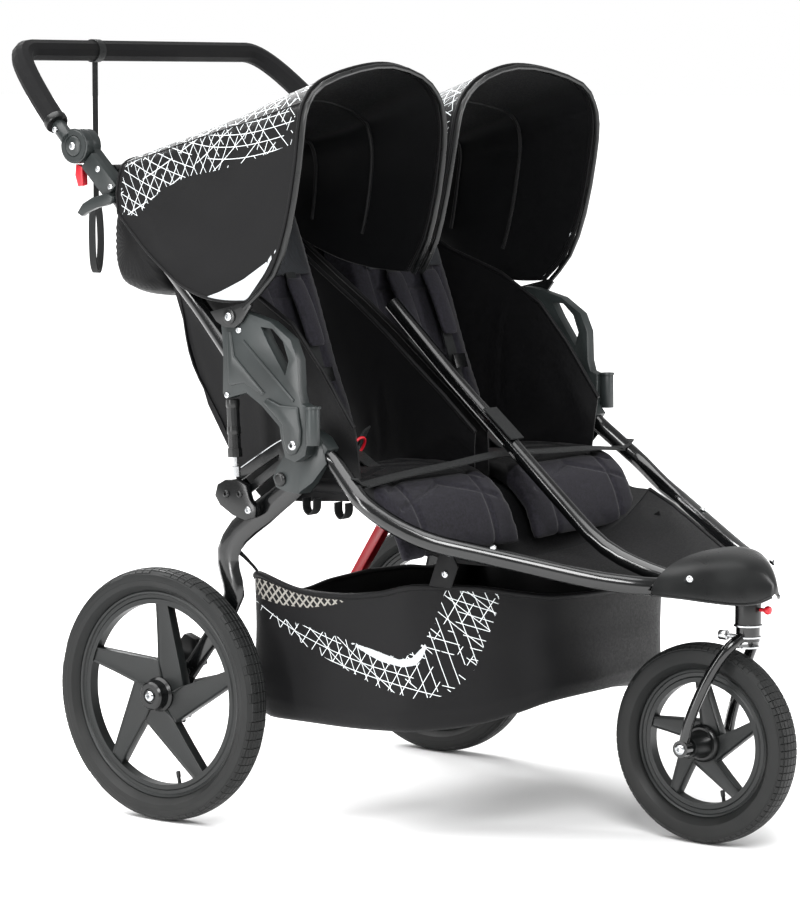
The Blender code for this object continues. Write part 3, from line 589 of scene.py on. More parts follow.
def cord(name, points, radius, body, sides=3, material=BLACK_CLOTH, closed=False):
    """A hem, seam or piping of the same cloth."""
    piece = pipe(name, points, radius, sides, closed)
    return dress(piece, body, material)


def mirror_copy(piece, name):
    """The same piece on the other side of the middle plane, with its own mesh."""
    mesh = piece.data.copy()
    mesh.transform(Matrix.Scale(-1.0, 4, (1.0, 0.0, 0.0)))
    mesh.flip_normals()
    copy = bpy.data.objects.new(name, mesh)
    bpy.context.scene.collection.objects.link(copy)
    return copy


# Wheels and tyres

TREAD_RISE = 0.0013
TREAD_GROOVE = 0.0009
TREAD_BLOCKS = 84
REAR_RIM = 0.1605
FRONT_RIM = 0.1120
RIM_HALF_WIDTH = 0.0098
SPOKE_ANGLE = 72


def make_tyre(node, body, centre, radius, rim, half_width):
    """A rounded casing with moulded side ribs and two thousand small tread faces."""
    crown = radius - TREAD_RISE - rim
    section = [(0.0105, rim), (0.62, 0.06), (0.92, 0.26), (1.0, 0.48), (0.985, 0.52), (1.0, 0.56),
               (0.93, 0.76), (0.90, 0.775), (0.88, 0.80), (0.70, 0.91), (0.45, 0.965), (0.16, 0.99)]
    half = [section[0]] + [(half_width * x, rim + crown * r) for x, r in section[1:]]
    profile = [(-x, r) for x, r in half] + [(x, r) for x, r in reversed(half)]
    tyre = turned(f"tread_{node}", profile, centre, (1, 0, 0), TREAD_BLOCKS, ring=True)
    edit_all(tyre)
    bpy.ops.mesh.select_all(action="DESELECT")
    leave_edit()
    hub = Vector(centre)
    for face in tyre.data.polygons:
        out = face.center - hub
        distance = math.hypot(out.y, out.z)
        turn = int((math.atan2(out.z, out.y) + math.pi) / (2 * math.pi) * TREAD_BLOCKS)
        outer_row = distance < rim + crown * 0.93
        face.select = distance > rim + crown * 0.81 and not (outer_row and turn % 3 == 0)
    bpy.ops.object.mode_set(mode="EDIT")
    bpy.ops.mesh.inset(thickness=TREAD_GROOVE, depth=TREAD_RISE, use_individual=True)
    leave_edit()
    dress(tyre, body, TYRE_RUBBER, (node,), angle=28.0)


def make_rim(name, centre, rim, lip):
    """A deep channel rim with rolled lips."""
    deep = 0.0205
    profile = [(-lip, rim), (-lip - 0.0010, rim - 0.0020), (-lip, rim - 0.0048),
               (-lip + 0.0022, rim - 0.0062), (-lip + 0.0022, rim - 0.0115),
               (-lip + 0.0006, rim - 0.0135), (-lip + 0.0010, rim - deep),
               (lip - 0.0010, rim - deep), (lip - 0.0006, rim - 0.0135),
               (lip - 0.0022, rim - 0.0115), (lip - 0.0022, rim - 0.0062),
               (lip, rim - 0.0048), (lip + 0.0010, rim - 0.0020), (lip, rim)]
    return turned(f"rim_{name}", profile, centre, (1, 0, 0), 96, ring=True)


def make_spoke(name, centre, angle, outward, rim_radius, half_thickness):
    """One wedge spoke with a hollow face on each side and a raised edge."""
    grow = rim_radius / 0.150
    outline = [(-0.0130, 0.1500), (0.0100, 0.1500), (0.0300, 0.0850), (0.0500, 0.0200),
               (0.0300, 0.0060), (0.0080, -0.0080), (-0.0040, 0.0460), (-0.0075, 0.0950)]
    bpy.ops.object.select_all(action="DESELECT")
    bpy.ops.mesh.primitive_circle_add(vertices=len(outline), fill_type="NGON")
    spoke = bpy.context.object
    spoke.name = name
    for vertex, (across, out) in zip(spoke.data.vertices, outline):
        forward = (across * math.cos(angle) + out * math.sin(angle)) * grow
        upward = (out * math.cos(angle) - across * math.sin(angle)) * grow
        vertex.co = Vector(centre) + Vector((-half_thickness, outward * forward, upward))
    edit_all(spoke)
    bpy.ops.mesh.inset(thickness=0.0032, depth=0.0)
    bpy.ops.transform.translate(value=(0.0028, 0, 0))
    bpy.ops.mesh.select_all(action="SELECT")
    bpy.ops.mesh.extrude_region_move(
        TRANSFORM_OT_translate={"value": (2 * half_thickness, 0, 0)}
    )
    bpy.ops.mesh.select_all(action="SELECT")
    bpy.ops.mesh.normals_make_consistent(inside=False)
    leave_edit()
    for vertex in spoke.data.vertices:
        middle = vertex.co.x - centre[0]
        if middle > half_thickness * 1.05:
            vertex.co.x = centre[0] + half_thickness - 0.0028
    apply_modifier(spoke, "BEVEL", width=0.0009, segments=2, limit_method="ANGLE")
    return spoke


def make_wheel(name, body, centre, rim, lip, hub_reach, hub_radius, swirl, first_spoke, node):
    hoop = make_rim(name, centre, rim, lip)
    dress(hoop, body, WHEEL_RESIN, (node,), angle=30.0)
    for number in range(5):
        angle = math.radians(first_spoke + SPOKE_ANGLE * number)
        spoke = make_spoke(f"spoke_{name}_{number + 1}", centre, angle, swirl, rim - 0.0135, 0.0085)
        dress(spoke, body, WHEEL_RESIN, angle=30.0)
    for side in (-1.0, 1.0):
        start = Vector(centre)
        reach = hub_reach[0] if side * swirl < 0 else hub_reach[1]
        cap = [(0.0, 0.0), (0.0, hub_radius * 1.18), (reach * 0.30, hub_radius * 1.16),
               (reach * 0.42, hub_radius), (reach * 0.90, hub_radius * 0.94),
               (reach, hub_radius * 0.82), (reach, hub_radius * 0.52),
               (reach * 0.93, hub_radius * 0.46), (reach * 0.93, 0.0)]
        hub = turned(f"hub_cap_{name}_{'inner' if side * swirl < 0 else 'outer'}", cap, start,
                     (side, 0, 0), 40)
        dress(hub, body, BLACK_RESIN, angle=32.0)
    stem = Vector(centre) + Vector((0.0, swirl * 0.0350, -(rim - 0.016)))
    valve = [(-0.004, 0.0), (-0.004, 0.0042), (0.002, 0.0040), (0.004, 0.0030), (0.018, 0.0028),
             (0.019, 0.0036), (0.027, 0.0036), (0.028, 0.0024), (0.028, 0.0)]
    stem_piece = turned(f"valve_{name}", valve, stem, (0, -swirl * 0.16, 1.0), 14)
    dress(stem_piece, body, BLACK_RESIN)


def centre_of(node):
    low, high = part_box(node)
    return (low + high) / 2


def make_wheels():
    for side, sign in SIDES:
        node = f"tyre_rear_{side}"
        body = f"rear_wheel_{side}"
        low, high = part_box(node)
        centre = centre_of(node)
        make_tyre(node, body, centre, (high.z - low.z) / 2, REAR_RIM, (high.x - low.x) / 2)
        make_wheel(f"rear_{side}", body, centre, REAR_RIM, RIM_HALF_WIDTH, (0.022, 0.030), 0.0230,
                   sign, 2.6, f"wheel_rear_{side}")
        screw(f"axle_cap_{side}", centre + Vector((sign * 0.0290, 0, 0)), (sign, 0, 0), 0.0085,
              body)
        teeth = []
        for k in range(80):
            reach = 0.0515 if k % 4 in (1, 2) else 0.0462
            angle = 2 * math.pi * k / 80
            teeth.append((centre.y - REAR_AXLE_Y + reach * math.cos(angle),
                          centre.z + reach * math.sin(angle)))
        disc = plate(f"brake_disc_{side}", teeth, sign * 0.3342, sign * 0.3368, edge=0.0003)
        dress(disc, body, BLACK_RESIN)
    low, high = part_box("tyre_front")
    centre = centre_of("tyre_front")
    make_tyre("tyre_front", "front_wheel", centre, (high.z - low.z) / 2, FRONT_RIM,
              (high.x - low.x) / 2)
    make_wheel("front", "front_wheel", centre, FRONT_RIM, RIM_HALF_WIDTH, (0.050, 0.050), 0.0185,
               -1.0, -3.7, "wheel_front")
    for side, sign in SIDES:
        disc = [(0.0, 0.0), (0.0, 0.0285), (0.003, 0.0280), (0.006, 0.0245), (0.006, 0.0)]
        flange = turned(f"front_hub_flange_{side}", disc, centre + Vector((sign * 0.0080, 0, 0)),
                        (sign, 0, 0), 40)
        dress(flange, "front_wheel", BLACK_RESIN)


# Frame, hinges and small hardware


def make_frame_parts():
    nodes = frame["nodes"]
    for name, body in (("swoop_tube_left", "main_frame"), ("swoop_tube_right", "main_frame"),
                       ("centre_tube", "main_frame"), ("side_tube_left", "upper_frame"),
                       ("side_tube_right", "upper_frame"), ("upper_cross_tube", "upper_frame"),
                       ("rear_axle", "rear_arms")):
        tube = softened(name, f"{name}_enamelled", 0.0)
        dress(tube, body, GLOSS_ENAMEL, (name,), angle=62.0)
    nodes["handle_grip"].material_slots[0].material = GRIP_FOAM
    for side, sign in SIDES:
        nodes[f"shock_body_{side}"].material_slots[0].material = BLACK_RESIN
        nodes[f"shock_rod_{side}"].material_slots[0].material = STEEL
        for node, body, material, slot, width in (
            ("hinge_bracket", "upper_frame", BRACKET_RESIN, "bracket_grey", 0.0022),
            ("hinge_base", "main_frame", BRACKET_RESIN, "bracket_grey", 0.0018),
            ("arm_mount", "upper_frame", BRACKET_RESIN, "bracket_grey", 0.0014),
            ("release_lever", f"release_lever_{side}", BRACKET_RESIN, "bracket_grey", 0.0014),
            ("height_hub", "handlebar", BRACKET_RESIN, "bracket_grey", 0.0016),
            ("height_button", f"height_button_{side}", RED_RESIN, "red_plastic", 0.0010),
            ("rear_link", "rear_links", BLACK_RESIN, "black_plastic", 0.0008),
            ("arm_bracket", "rear_arms", BLACK_RESIN, "black_plastic", 0.0014),
            ("brake_caliper", "rear_arms", BLACK_RESIN, "black_plastic", 0.0016),
            ("canopy_bow", f"canopy_{side}", BLACK_RESIN, "bracket_grey", 0.0008),
            ("harness_buckle", "main_frame", BLACK_RESIN, "black_plastic", 0.0014),
        ):
            full = f"{node}_{side}"
            piece = softened(full, f"{node}_moulding_{side}", width)
            dress(piece, body, material, (full,))
        arm = softened(f"swing_arm_{side}", f"swing_arm_forging_{side}", 0.0)
        dress(arm, "rear_arms", GLOSS_ENAMEL, (f"swing_arm_{side}",), angle=55.0)
    bar = softened("brake_lever", "brake_bar_moulding", 0.0018)
    dress(bar, "brake_lever", RED_RESIN, ("brake_lever",))
    fork = softened("fork", "fork_forging", 0.0)
    dress(fork, "fork", GLOSS_ENAMEL, ("fork",), angle=50.0)
    block = softened("head_tube", "head_tube_casting", 0.0010)
    dress(block, "main_frame", BLACK_RESIN, ("head_tube",))
    knob = softened("swivel_lock", "swivel_lock_cap", 0.0009)
    dress(knob, "swivel_lock", RED_RESIN, ("swivel_lock",))
    adjuster = softened("tracking_knob", "tracking_knob_turned", 0.0008)
    dress(adjuster, "tracking_knob", STEEL, ("tracking_knob",))


def make_bracket_details():
    """Ribs, covers, washers and screws on the side hinges."""
    for side, sign in SIDES:
        face = sign * 0.3880
        pod = [(-0.2935, 0.6550), (-0.2960, 0.6400), (-0.3000, 0.6200), (-0.2980, 0.6000),
               (-0.2890, 0.5860), (-0.2790, 0.5830), (-0.2710, 0.5900), (-0.2660, 0.6080),
               (-0.2640, 0.6280), (-0.2480, 0.6420), (-0.2280, 0.6580), (-0.2350, 0.6650),
               (-0.2600, 0.6560)]
        cover = plate(f"hinge_pod_cover_{side}", pod, face - sign * 0.001, face + sign * 0.0030,
                      edge=0.0012, panel=(0.0026, 0.0012))
        dress(cover, "upper_frame", BRACKET_RESIN)
        rib = [(-0.1890, 0.7460), (-0.1930, 0.7420), (-0.2830, 0.6620), (-0.2860, 0.6650),
               (-0.2800, 0.6700), (-0.1900, 0.7500)]
        spine = plate(f"hinge_rib_{side}", rib, face - sign * 0.001, face + sign * 0.0022,
                      edge=0.0006)
        dress(spine, "upper_frame", BRACKET_RESIN)
        web = [(-0.1580, 0.7600), (-0.1600, 0.6850), (-0.1640, 0.6800), (-0.1900, 0.6860),
               (-0.2250, 0.6690), (-0.2300, 0.6720), (-0.1900, 0.7080), (-0.1720, 0.7250),
               (-0.1660, 0.7600)]
        field = plate(f"hinge_web_{side}", web, face - sign * 0.001, face + sign * 0.0012,
                      edge=0.0006, panel=(0.0022, -0.0012))
        dress(field, "upper_frame", BRACKET_RESIN)
        collar = [(-0.0006, 0.0112), (-0.0006, 0.0122), (0.0020, 0.0124), (0.0030, 0.0118),
                  (0.0030, 0.0090), (-0.0006, 0.0088)]
        ring = turned(f"socket_collar_{side}", collar, at(sign * 0.3865, -0.3185, 0.6540),
                      (0, 0.02, 1), 32, ring=True)
        dress(ring, "upper_frame", BRACKET_RESIN)
        out = (sign, 0, 0)
        screw(f"fold_pivot_screw_{side}", at(face + sign * 0.0030, -0.284, 0.598), out, 0.0075,
              "upper_frame")
        screw(f"bracket_screw_top_{side}", at(face, -0.180, 0.7635), out, 0.0052, "upper_frame")
        screw(f"bracket_screw_low_{side}", at(face, -0.157, 0.6655), out, 0.0045, "upper_frame")
        disc = [(0.0, 0.0), (0.0, 0.0115), (0.0016, 0.0112), (0.0022, 0.0100), (0.0022, 0.0)]
        washer = turned(f"canopy_washer_{side}", disc, at(sign * 0.3940, -0.167, 0.783), out, 28)
        dress(washer, f"canopy_{side}", BLACK_RESIN)
        screw(f"canopy_pivot_screw_{side}", at(sign * 0.3958, -0.167, 0.783), out, 0.0064,
              f"canopy_{side}")
        screw(f"arm_pivot_cap_{side}", at(sign * 0.3670, -0.242, 0.543), out, 0.0105, "main_frame",
              BLACK_RESIN, socket=False)
        screw(f"arm_bracket_screw_front_{side}", at(sign * 0.3500, -0.123, 0.512), out, 0.0062,
              "rear_arms", BLACK_RESIN)
        screw(f"arm_bracket_screw_mid_{side}", at(sign * 0.3500, -0.149, 0.513), out, 0.0055,
              "rear_arms", BLACK_RESIN)
        screw(f"arm_bracket_screw_rear_{side}", at(sign * 0.3500, -0.1655, 0.490), out, 0.0060,
              "rear_arms")
        edge_line = side_line([(0.3350, -0.1270, 0.5440), (0.3350, -0.1700, 0.5705),
                               (0.3350, -0.2120, 0.5952), (0.3350, -0.2290, 0.5990),
                               (0.3350, -0.2410, 0.5855)], sign)
        trim = pipe(f"link_steel_edge_{side}", edge_line, 0.0013, 2)
        dress(trim, "rear_links", STEEL)
        shock_cap = [(0.0, 0.0), (0.0, 0.0100), (0.0050, 0.0104), (0.0110, 0.0104),
                     (0.0120, 0.0096), (0.0120, 0.0)]
        for number, height in ((1, 0.6580), (2, 0.6180)):
            cap = turned(f"shock_band_{side}_{number}", shock_cap,
                         at(sign * 0.372, -0.1545 - (0.6585 - height) * 0.05, height),
                         (0, -0.05, -1.0), 28)
            dress(cap, "upper_frame", BLACK_RESIN)
        screw(f"shock_eye_screw_{side}", at(sign * 0.3745, -0.160, 0.549), out, 0.0050,
              f"shock_rod_{side}")
        out_hub = sign * 0.3545
        drum = turned(f"height_hub_cap_{side}",
                      [(0.0, 0.0), (0.0, 0.0252), (0.0022, 0.0240), (0.0022, 0.0165),
                       (0.0010, 0.0158), (0.0030, 0.0150), (0.0042, 0.0135), (0.0042, 0.0)],
                      at(out_hub - sign * 0.0004, 0.175, 1.031), out, 44)
        dress(drum, "handlebar", BRACKET_RESIN)
        screw(f"height_pivot_screw_{side}", at(out_hub + sign * 0.0036, 0.175, 1.031), out, 0.0062,
              "handlebar")
        screw(f"arm_mount_screw_top_{side}", at(sign * 0.3500, 0.130, 0.996), out, 0.0050,
              "upper_frame")
        screw(f"arm_mount_screw_low_{side}", at(sign * 0.3500, 0.105, 0.9690), out, 0.0050,
              "upper_frame")
        screw(f"grip_neck_screw_{side}", at(sign * 0.3620, 0.2080, 1.0560), out, 0.0045,
              "handlebar")
        cuff = turned(f"grip_cuff_{side}",
                      [(0.0, 0.0100), (0.0, 0.0178), (0.0030, 0.0186), (0.0090, 0.0186),
                       (0.0110, 0.0176), (0.0110, 0.0100)],
                      at(sign * 0.3440, 0.2190, 1.0645), (-sign * 0.16, 0.70, 0.66), 32, ring=True)
        dress(cuff, "handlebar", BLACK_RESIN)
        screw(f"fork_axle_screw_{side}", at(sign * 0.0700, -0.756, 0.151), out, 0.0085, "fork")
        screw(f"swoop_tube_screw_{side}", at(sign * 0.2855, -0.5700, 0.4590), (sign * 0.5, 0, 0.85),
              0.0050, "main_frame")


def make_nose():
    """The smooth cap over the front ends of the frame tubes."""
    stations = [(-0.7650, 0.165, 0.442, 0.392), (-0.7920, 0.130, 0.442, 0.386),
                (-0.8200, 0.092, 0.438, 0.378), (-0.8450, 0.056, 0.430, 0.372),
                (-0.8620, 0.029, 0.416, 0.373), (-0.8735, 0.010, 0.398, 0.380)]
    steps = 4
    rows = []
    for number in range((len(stations) - 1) * steps + 1):
        t = number / steps
        index = min(int(t), len(stations) - 2)
        part = t - index
        before = stations[max(index - 1, 0)]
        a, b = stations[index], stations[index + 1]
        after = stations[min(index + 2, len(stations) - 1)]
        y, half, top, foot = (
            0.5 * (2 * p + (q - o) * part + (2 * o - 5 * p + 4 * q - r) * part**2
                   + (3 * p - 3 * q + r - o) * part**3)
            for o, p, q, r in zip(before, a, b, after)
        )
        row = []
        for k in range(41):
            x = math.cos(math.pi * (1 - k / 40))
            z = foot + (top - foot) * math.sqrt(max(0.0, 1 - abs(x) ** 2.4))
            row.append(at(half * x, y, z))
        rows.append(row)
    tip = [at(0.0, -0.8740, 0.3850)] * 41
    rows.append(tip)
    cover = shaped_grid("nose_cap", rows)
    edit_all(cover)
    bpy.ops.mesh.remove_doubles(threshold=0.00005)
    leave_edit()
    apply_modifier(cover, "SOLIDIFY", thickness=0.0028, offset=1.0 if
                   cover.data.polygons[400].normal.z < 0 else -1.0)
    dress(cover, "main_frame", BLACK_RESIN, ("nose_cover",), angle=45.0)
    for side, sign in SIDES:
        lip = side_line([
            (0.1655, -0.7655, 0.3925), (0.1300, -0.7920, 0.3865), (0.0925, -0.8200, 0.3785),
            (0.0565, -0.8450, 0.3725), (0.0295, -0.8620, 0.3735), (0.0105, -0.8740, 0.3805)],
            sign, 6)
        bead = pipe(f"nose_cap_bead_{side}", lip, 0.0022, 3)
        dress(bead, "main_frame", BLACK_RESIN)
        screw(f"nose_cap_screw_{side}", at(sign * 0.1160, -0.7990, 0.4130),
              (sign * 0.72, -0.35, 0.55), 0.0055, "main_frame")
    rings = ((0.3330, 0.0215), (0.3160, 0.0200), (0.3010, 0.0170))
    for number, (height, radius) in enumerate(rings):
        body = "main_frame" if number == 0 else "fork"
        washer = turned(f"steering_washer_{number + 1}",
                        [(0.0, 0.0), (0.0, radius), (0.0022, radius), (0.0022, 0.0)],
                        at(0, -0.828, height), (0, 0, 1), 36)
        dress(washer, body, STEEL)


# Canopies

RIM = [(0.385, -0.195, 0.806), (0.385, -0.237, 0.850), (0.385, -0.266, 0.920),
       (0.385, -0.285, 1.010), (0.384, -0.291, 1.065), (0.372, -0.291, 1.100),
       (0.337, -0.292, 1.129), (0.250, -0.290, 1.150), (0.162, -0.286, 1.156),
       (0.085, -0.284, 1.140), (0.043, -0.281, 1.115), (0.022, -0.279, 1.084),
       (0.014, -0.275, 1.037), (0.011, -0.262, 0.961), (0.011, -0.242, 0.888),
       (0.011, -0.213, 0.837)]
BACK = [(0.361, 0.080, 0.930), (0.361, 0.081, 0.945), (0.361, 0.082, 0.960),
        (0.360, 0.080, 0.980), (0.358, 0.077, 0.995), (0.350, 0.077, 1.005),
        (0.325, 0.079, 1.013), (0.250, 0.083, 1.020), (0.162, 0.085, 1.023),
        (0.085, 0.083, 1.018), (0.043, 0.080, 1.012), (0.022, 0.078, 1.004),
        (0.014, 0.076, 0.990), (0.012, 0.076, 0.970), (0.012, 0.076, 0.950),
        (0.012, 0.076, 0.930)]
PRINT_EDGE = [(-0.300, 1.045), (-0.256, 1.032), (-0.203, 1.016), (-0.142, 1.001), (-0.064, 0.988),
              (-0.014, 0.969), (0.016, 0.946), (0.036, 0.927), (0.100, 0.930)]
CRESCENT = [(-0.086, 0.800), (-0.135, 0.793), (-0.193, 0.809), (-0.225, 0.847), (-0.262, 0.902),
            (-0.231, 0.866), (-0.183, 0.838), (-0.135, 0.818), (-0.096, 0.806)]


def height_on(line, y):
    """The height of a (y, z) line at y."""
    for (y0, z0), (y1, z1) in zip(line, line[1:]):
        if min(y0, y1) <= y <= max(y0, y1):
            return z0 + (z1 - z0) * (y - y0) / (y1 - y0)
    return line[0][1] if abs(y - line[0][0]) < abs(y - line[-1][0]) else line[-1][1]


def inside_by(outline, y, z):
    """How far a point is inside an outline, negative outside."""
    nearest = 1.0
    inside = False
    point = Vector((y, z))
    for a, b in zip(outline, outline[1:] + outline[:1]):
        a, b = Vector(a), Vector(b)
        along = b - a
        t = max(0.0, min(1.0, (point - a).dot(along) / along.length_squared))
        nearest = min(nearest, (point - a - along * t).length)
        if (a.y > z) != (b.y > z) and y < (b.x - a.x) * (z - a.y) / (b.y - a.y) + a.x:
            inside = not inside
    return nearest if inside else -nearest


def write_zone(piece, name, values):
    zone = piece.data.attributes.new(name, "FLOAT", "POINT")
    zone.data.foreach_set("value", values)


def write_map(piece, rows):
    """A map in metres: the distance along each row and across the rows."""
    places = []
    across = 0.0
    for number, row in enumerate(rows):
        if number:
            across += sum((a - b).length for a, b in zip(row, rows[number - 1])) / len(row)
        along = 0.0
        for index, point in enumerate(row):
            if index:
                along += (point - row[index - 1]).length
            places.append((along, across))
    layer = piece.data.uv_layers["cloth"]
    for loop in piece.data.loops:
        layer.data[loop.index].uv = places[loop.vertex_index]


def make_canopies():
    for side, sign in SIDES:
        front = side_line(RIM, sign, 6)
        rear = side_line(BACK, sign, 6)
        count = len(front)
        rows = []
        stations = 60
        for k in range(stations + 1):
            t = k / stations
            row = []
            for i, (a, b) in enumerate(zip(front, rear)):
                point = a.lerp(b, t)
                place = i * 15 / (count - 1)
                if place < 5 or place > 10:
                    sag = max(0.0, 1.0 - min(place, 15 - place) / 4.5)
                    deep = 0.045 if place < 5 else 0.027
                    point.z -= deep * sag * math.sin(math.pi * t)
                pull = math.sin(math.pi * t) ** 2
                crease = noise.noise(Vector((t * 5.0, place * 0.9, 3.0 + sign)))
                slack = 0.0020 * pull + 0.0030 * crease * pull
                middle = at(sign * 0.19, point.y - REAR_AXLE_Y, 0.90)
                point += (middle - point).normalized() * slack
                row.append(point)
            rows.append(row)
        canopy = shaped_grid(f"canopy_cloth_{side}", rows)
        write_map(canopy, rows)
        spots = [(p.y - REAR_AXLE_Y, p.z, abs(p.x)) for row in rows for p in row]
        outer = [x > 0.20 or z > 0.99 for y, z, x in spots]
        across = len(rows[0])
        edged = [2 <= index // across <= len(rows) - 3 for index in range(len(spots))]
        write_zone(canopy, "print_zone", [
            (min(z - height_on(PRINT_EDGE, y), 0.02) if far else min(z - 1.0, 0.02))
            if kept else -0.02 for (y, z, x), far, kept in zip(spots, outer, edged)])
        write_zone(canopy, "silver_zone", [
            inside_by(CRESCENT, y, z) if x > 0.30 else -1.0 for y, z, x in spots])
        outward = canopy.data.polygons[20].normal.x * sign > 0
        if not outward:
            canopy.data.flip_normals()
        apply_modifier(canopy, "SOLIDIFY", thickness=0.0014, offset=-1.0)
        dress(canopy, f"canopy_{side}", CANOPY_CLOTH, (f"canopy_shell_{side}",))
        inner_rows = []
        for row in rows[1:-1]:
            middle = at(sign * 0.19, row[0].y - REAR_AXLE_Y, 0.92)
            inner_rows.append([p + (Vector((middle.x, p.y, middle.z)) - p).normalized() * 0.0030
                               for p in row])
        body = f"canopy_{side}"
        sheet(f"canopy_lining_{side}", inner_rows, 0.0010, body, LINING_CLOTH, angle=40.0)
        cord(f"canopy_rim_piping_{side}", front, 0.0032, body)
        cord(f"canopy_hem_{side}", [row[0] for row in rows], 0.0022, body)
        cord(f"canopy_inner_hem_{side}", [row[-1] for row in rows], 0.0022, body)
        cord(f"canopy_rear_hem_{side}", rear, 0.0022, body)
        seam = [p + Vector((sign * 0.0006, 0, 0.0)) for p in
                (row[min(int(count * 0.33), count - 1)] for row in rows)]
        cord(f"canopy_top_seam_{side}", seam, 0.0010, body, 2, LINING_CLOTH)
        for number, station in enumerate((22, 41)):
            line = [p + (Vector((sign * 0.19, p.y, 0.92)) - p).normalized() * 0.0048
                    for p in rows[station]]
            cord(f"canopy_rib_{side}_{number + 1}", line[6:-6], 0.0030, body, 2, LINING_CLOTH)


# Seats


def make_seat_shells():
    """The fabric tubs: two side walls joined under the seat and behind the back pad."""
    stations = [(0.030, 0.905, 0.885, 0.850), (0.000, 0.880, 0.862, 0.770),
                (-0.050, 0.853, 0.826, 0.640), (-0.110, 0.832, 0.785, 0.545),
                (-0.150, 0.818, 0.755, 0.508), (-0.172, 0.805, 0.738, 0.505),
                (-0.230, 0.770, 0.690, 0.506), (-0.285, 0.706, 0.645, 0.510),
                (-0.345, 0.622, 0.592, 0.514)]
    walls = (("inner", 0.0180, 0.0165, 2), ("outer", 0.3035, 0.3225, 1))
    for side, sign in SIDES:
        line = []
        steps = 5
        for a, b in zip(stations, stations[1:]):
            for k in range(steps):
                t = k / steps
                line.append([p + (q - p) * t for p, q in zip(a, b)])
        line.append(list(stations[-1]))
        for label, low_x, high_x, column in walls:
            rows = []
            for number, station in enumerate(line):
                y, floor, top = station[0], station[3], station[column]
                row = []
                for k in range(15):
                    t = k / 14
                    ripple = noise.noise(Vector((number * 0.16, t * 2.2, 5.0 + sign + low_x)))
                    x = low_x + (high_x - low_x) * t ** 1.5
                    fold = 0.0040 * ripple * math.sin(math.pi * min(1.0, t * 1.05))
                    x += -abs(fold) if label == "outer" else abs(fold)
                    row.append(at(sign * x, y, floor + (top - floor) * t))
                rows.append(row)
            nodes = (f"seat_tub_{side}",) if label == "outer" else ()
            sheet(f"seat_wall_{label}_{side}", rows, 0.0030, "main_frame", nodes=nodes,
                  anchor=SEAT_HEIGHT)
            top_edge = smooth_line([row[-1] for row in rows], 1)
            trim = cord(f"seat_edge_{label}_{side}", top_edge, 0.0036, "main_frame")
            ride_flattening(trim)
        rows = []
        for y, _, _, floor in line[20:]:
            rows.append([at(sign * (0.0185 + 0.2845 * k / 16), y, floor - 0.001)
                         for k in range(17)])
        sheet(f"seat_underside_{side}", rows, 0.0030, "main_frame", angle=40.0,
              anchor=SEAT_HEIGHT)
        back = smooth_line([(0, -0.118, 0.512), (0, -0.084, 0.600), (0, -0.020, 0.700),
                            (0, 0.006, 0.800), (0, 0.030, 0.900), (0, 0.033, 0.940)], 5)
        rows = [[at(sign * (0.040 + 0.268 * k / 16), p.y - 0.0030
                    + 0.0015 * noise.noise(Vector((k * 0.4, p.z * 12, sign))), p.z)
                 for k in range(17)] for p in back]
        sheet(f"seat_back_cover_{side}", rows, 0.0024, f"seat_back_{side}", anchor=SEAT_HEIGHT)


def pad_rings(stations, inner, outer, sign, rows=10):
    """Rings of a flat pad: each station is (top point, bottom point) in the side plane."""
    rings = []
    for (ty, tz), (by, bz) in stations:
        ring = []
        for k in range(rows + 1):
            x = inner + (outer - inner) * k / rows
            ring.append(at(sign * x, ty, tz))
        for k in range(rows + 1):
            x = outer - (outer - inner) * k / rows
            ring.append(at(sign * x, by, bz))
        rings.append(ring)
    return rings


def sew(piece, lines, depth, reach, plane):
    """Presses stitched channels into a pad along lines given in a plane of two axes."""
    for vertex in piece.data.vertices:
        spot = Vector((abs(vertex.co.x), plane(vertex.co)))
        near = 1.0
        for a, b in lines:
            a, b = Vector(a), Vector(b)
            along = b - a
            t = max(0.0, min(1.0, (spot - a).dot(along) / along.length_squared))
            near = min(near, (spot - a - along * t).length)
        vertex.co -= vertex.normal * depth * math.exp(-((near / reach) ** 2))


def make_leg_pads():
    stations = [((-0.200, 0.541), (-0.200, 0.522)), ((-0.240, 0.542), (-0.240, 0.520)),
                ((-0.290, 0.543), (-0.290, 0.520)), ((-0.340, 0.541), (-0.338, 0.519)),
                ((-0.380, 0.530), (-0.372, 0.512)), ((-0.405, 0.508), (-0.391, 0.495)),
                ((-0.420, 0.478), (-0.404, 0.470)), ((-0.430, 0.448), (-0.414, 0.442)),
                ((-0.434, 0.424), (-0.420, 0.422))]
    pad = loft("leg_pad_left", pad_rings(stations, 0.0225, 0.3170, -1.0))
    relax(pad, 0.006)
    chevrons = []
    for start in (0.405, 0.355, 0.305, 0.250):
        chevrons.append(((0.172, start - 0.020), (0.055, start + 0.030)))
        chevrons.append(((0.172, start - 0.020), (0.290, start + 0.030)))
    chevrons.append(((0.075, 0.20), (0.085, 0.52)))
    chevrons.append(((0.268, 0.20), (0.258, 0.52)))
    apply_modifier(pad, "SUBSURF", levels=1, render_levels=1)
    sew(pad, chevrons, 0.0035, 0.0048,
        lambda p: -(p.y - REAR_AXLE_Y) + max(0.0, 0.530 - p.z) * 0.9)
    other = mirror_copy(pad, "leg_pad_right")
    for piece in (pad, other):
        dress(piece, "main_frame", HEATHER_CLOTH, angle=80.0)
        piece.data.materials.append(BLACK_CLOTH)
        for face in piece.data.polygons:
            face.material_index = 1 if face.center.y > REAR_AXLE_Y - 0.374 else 0
        ride_flattening(piece)


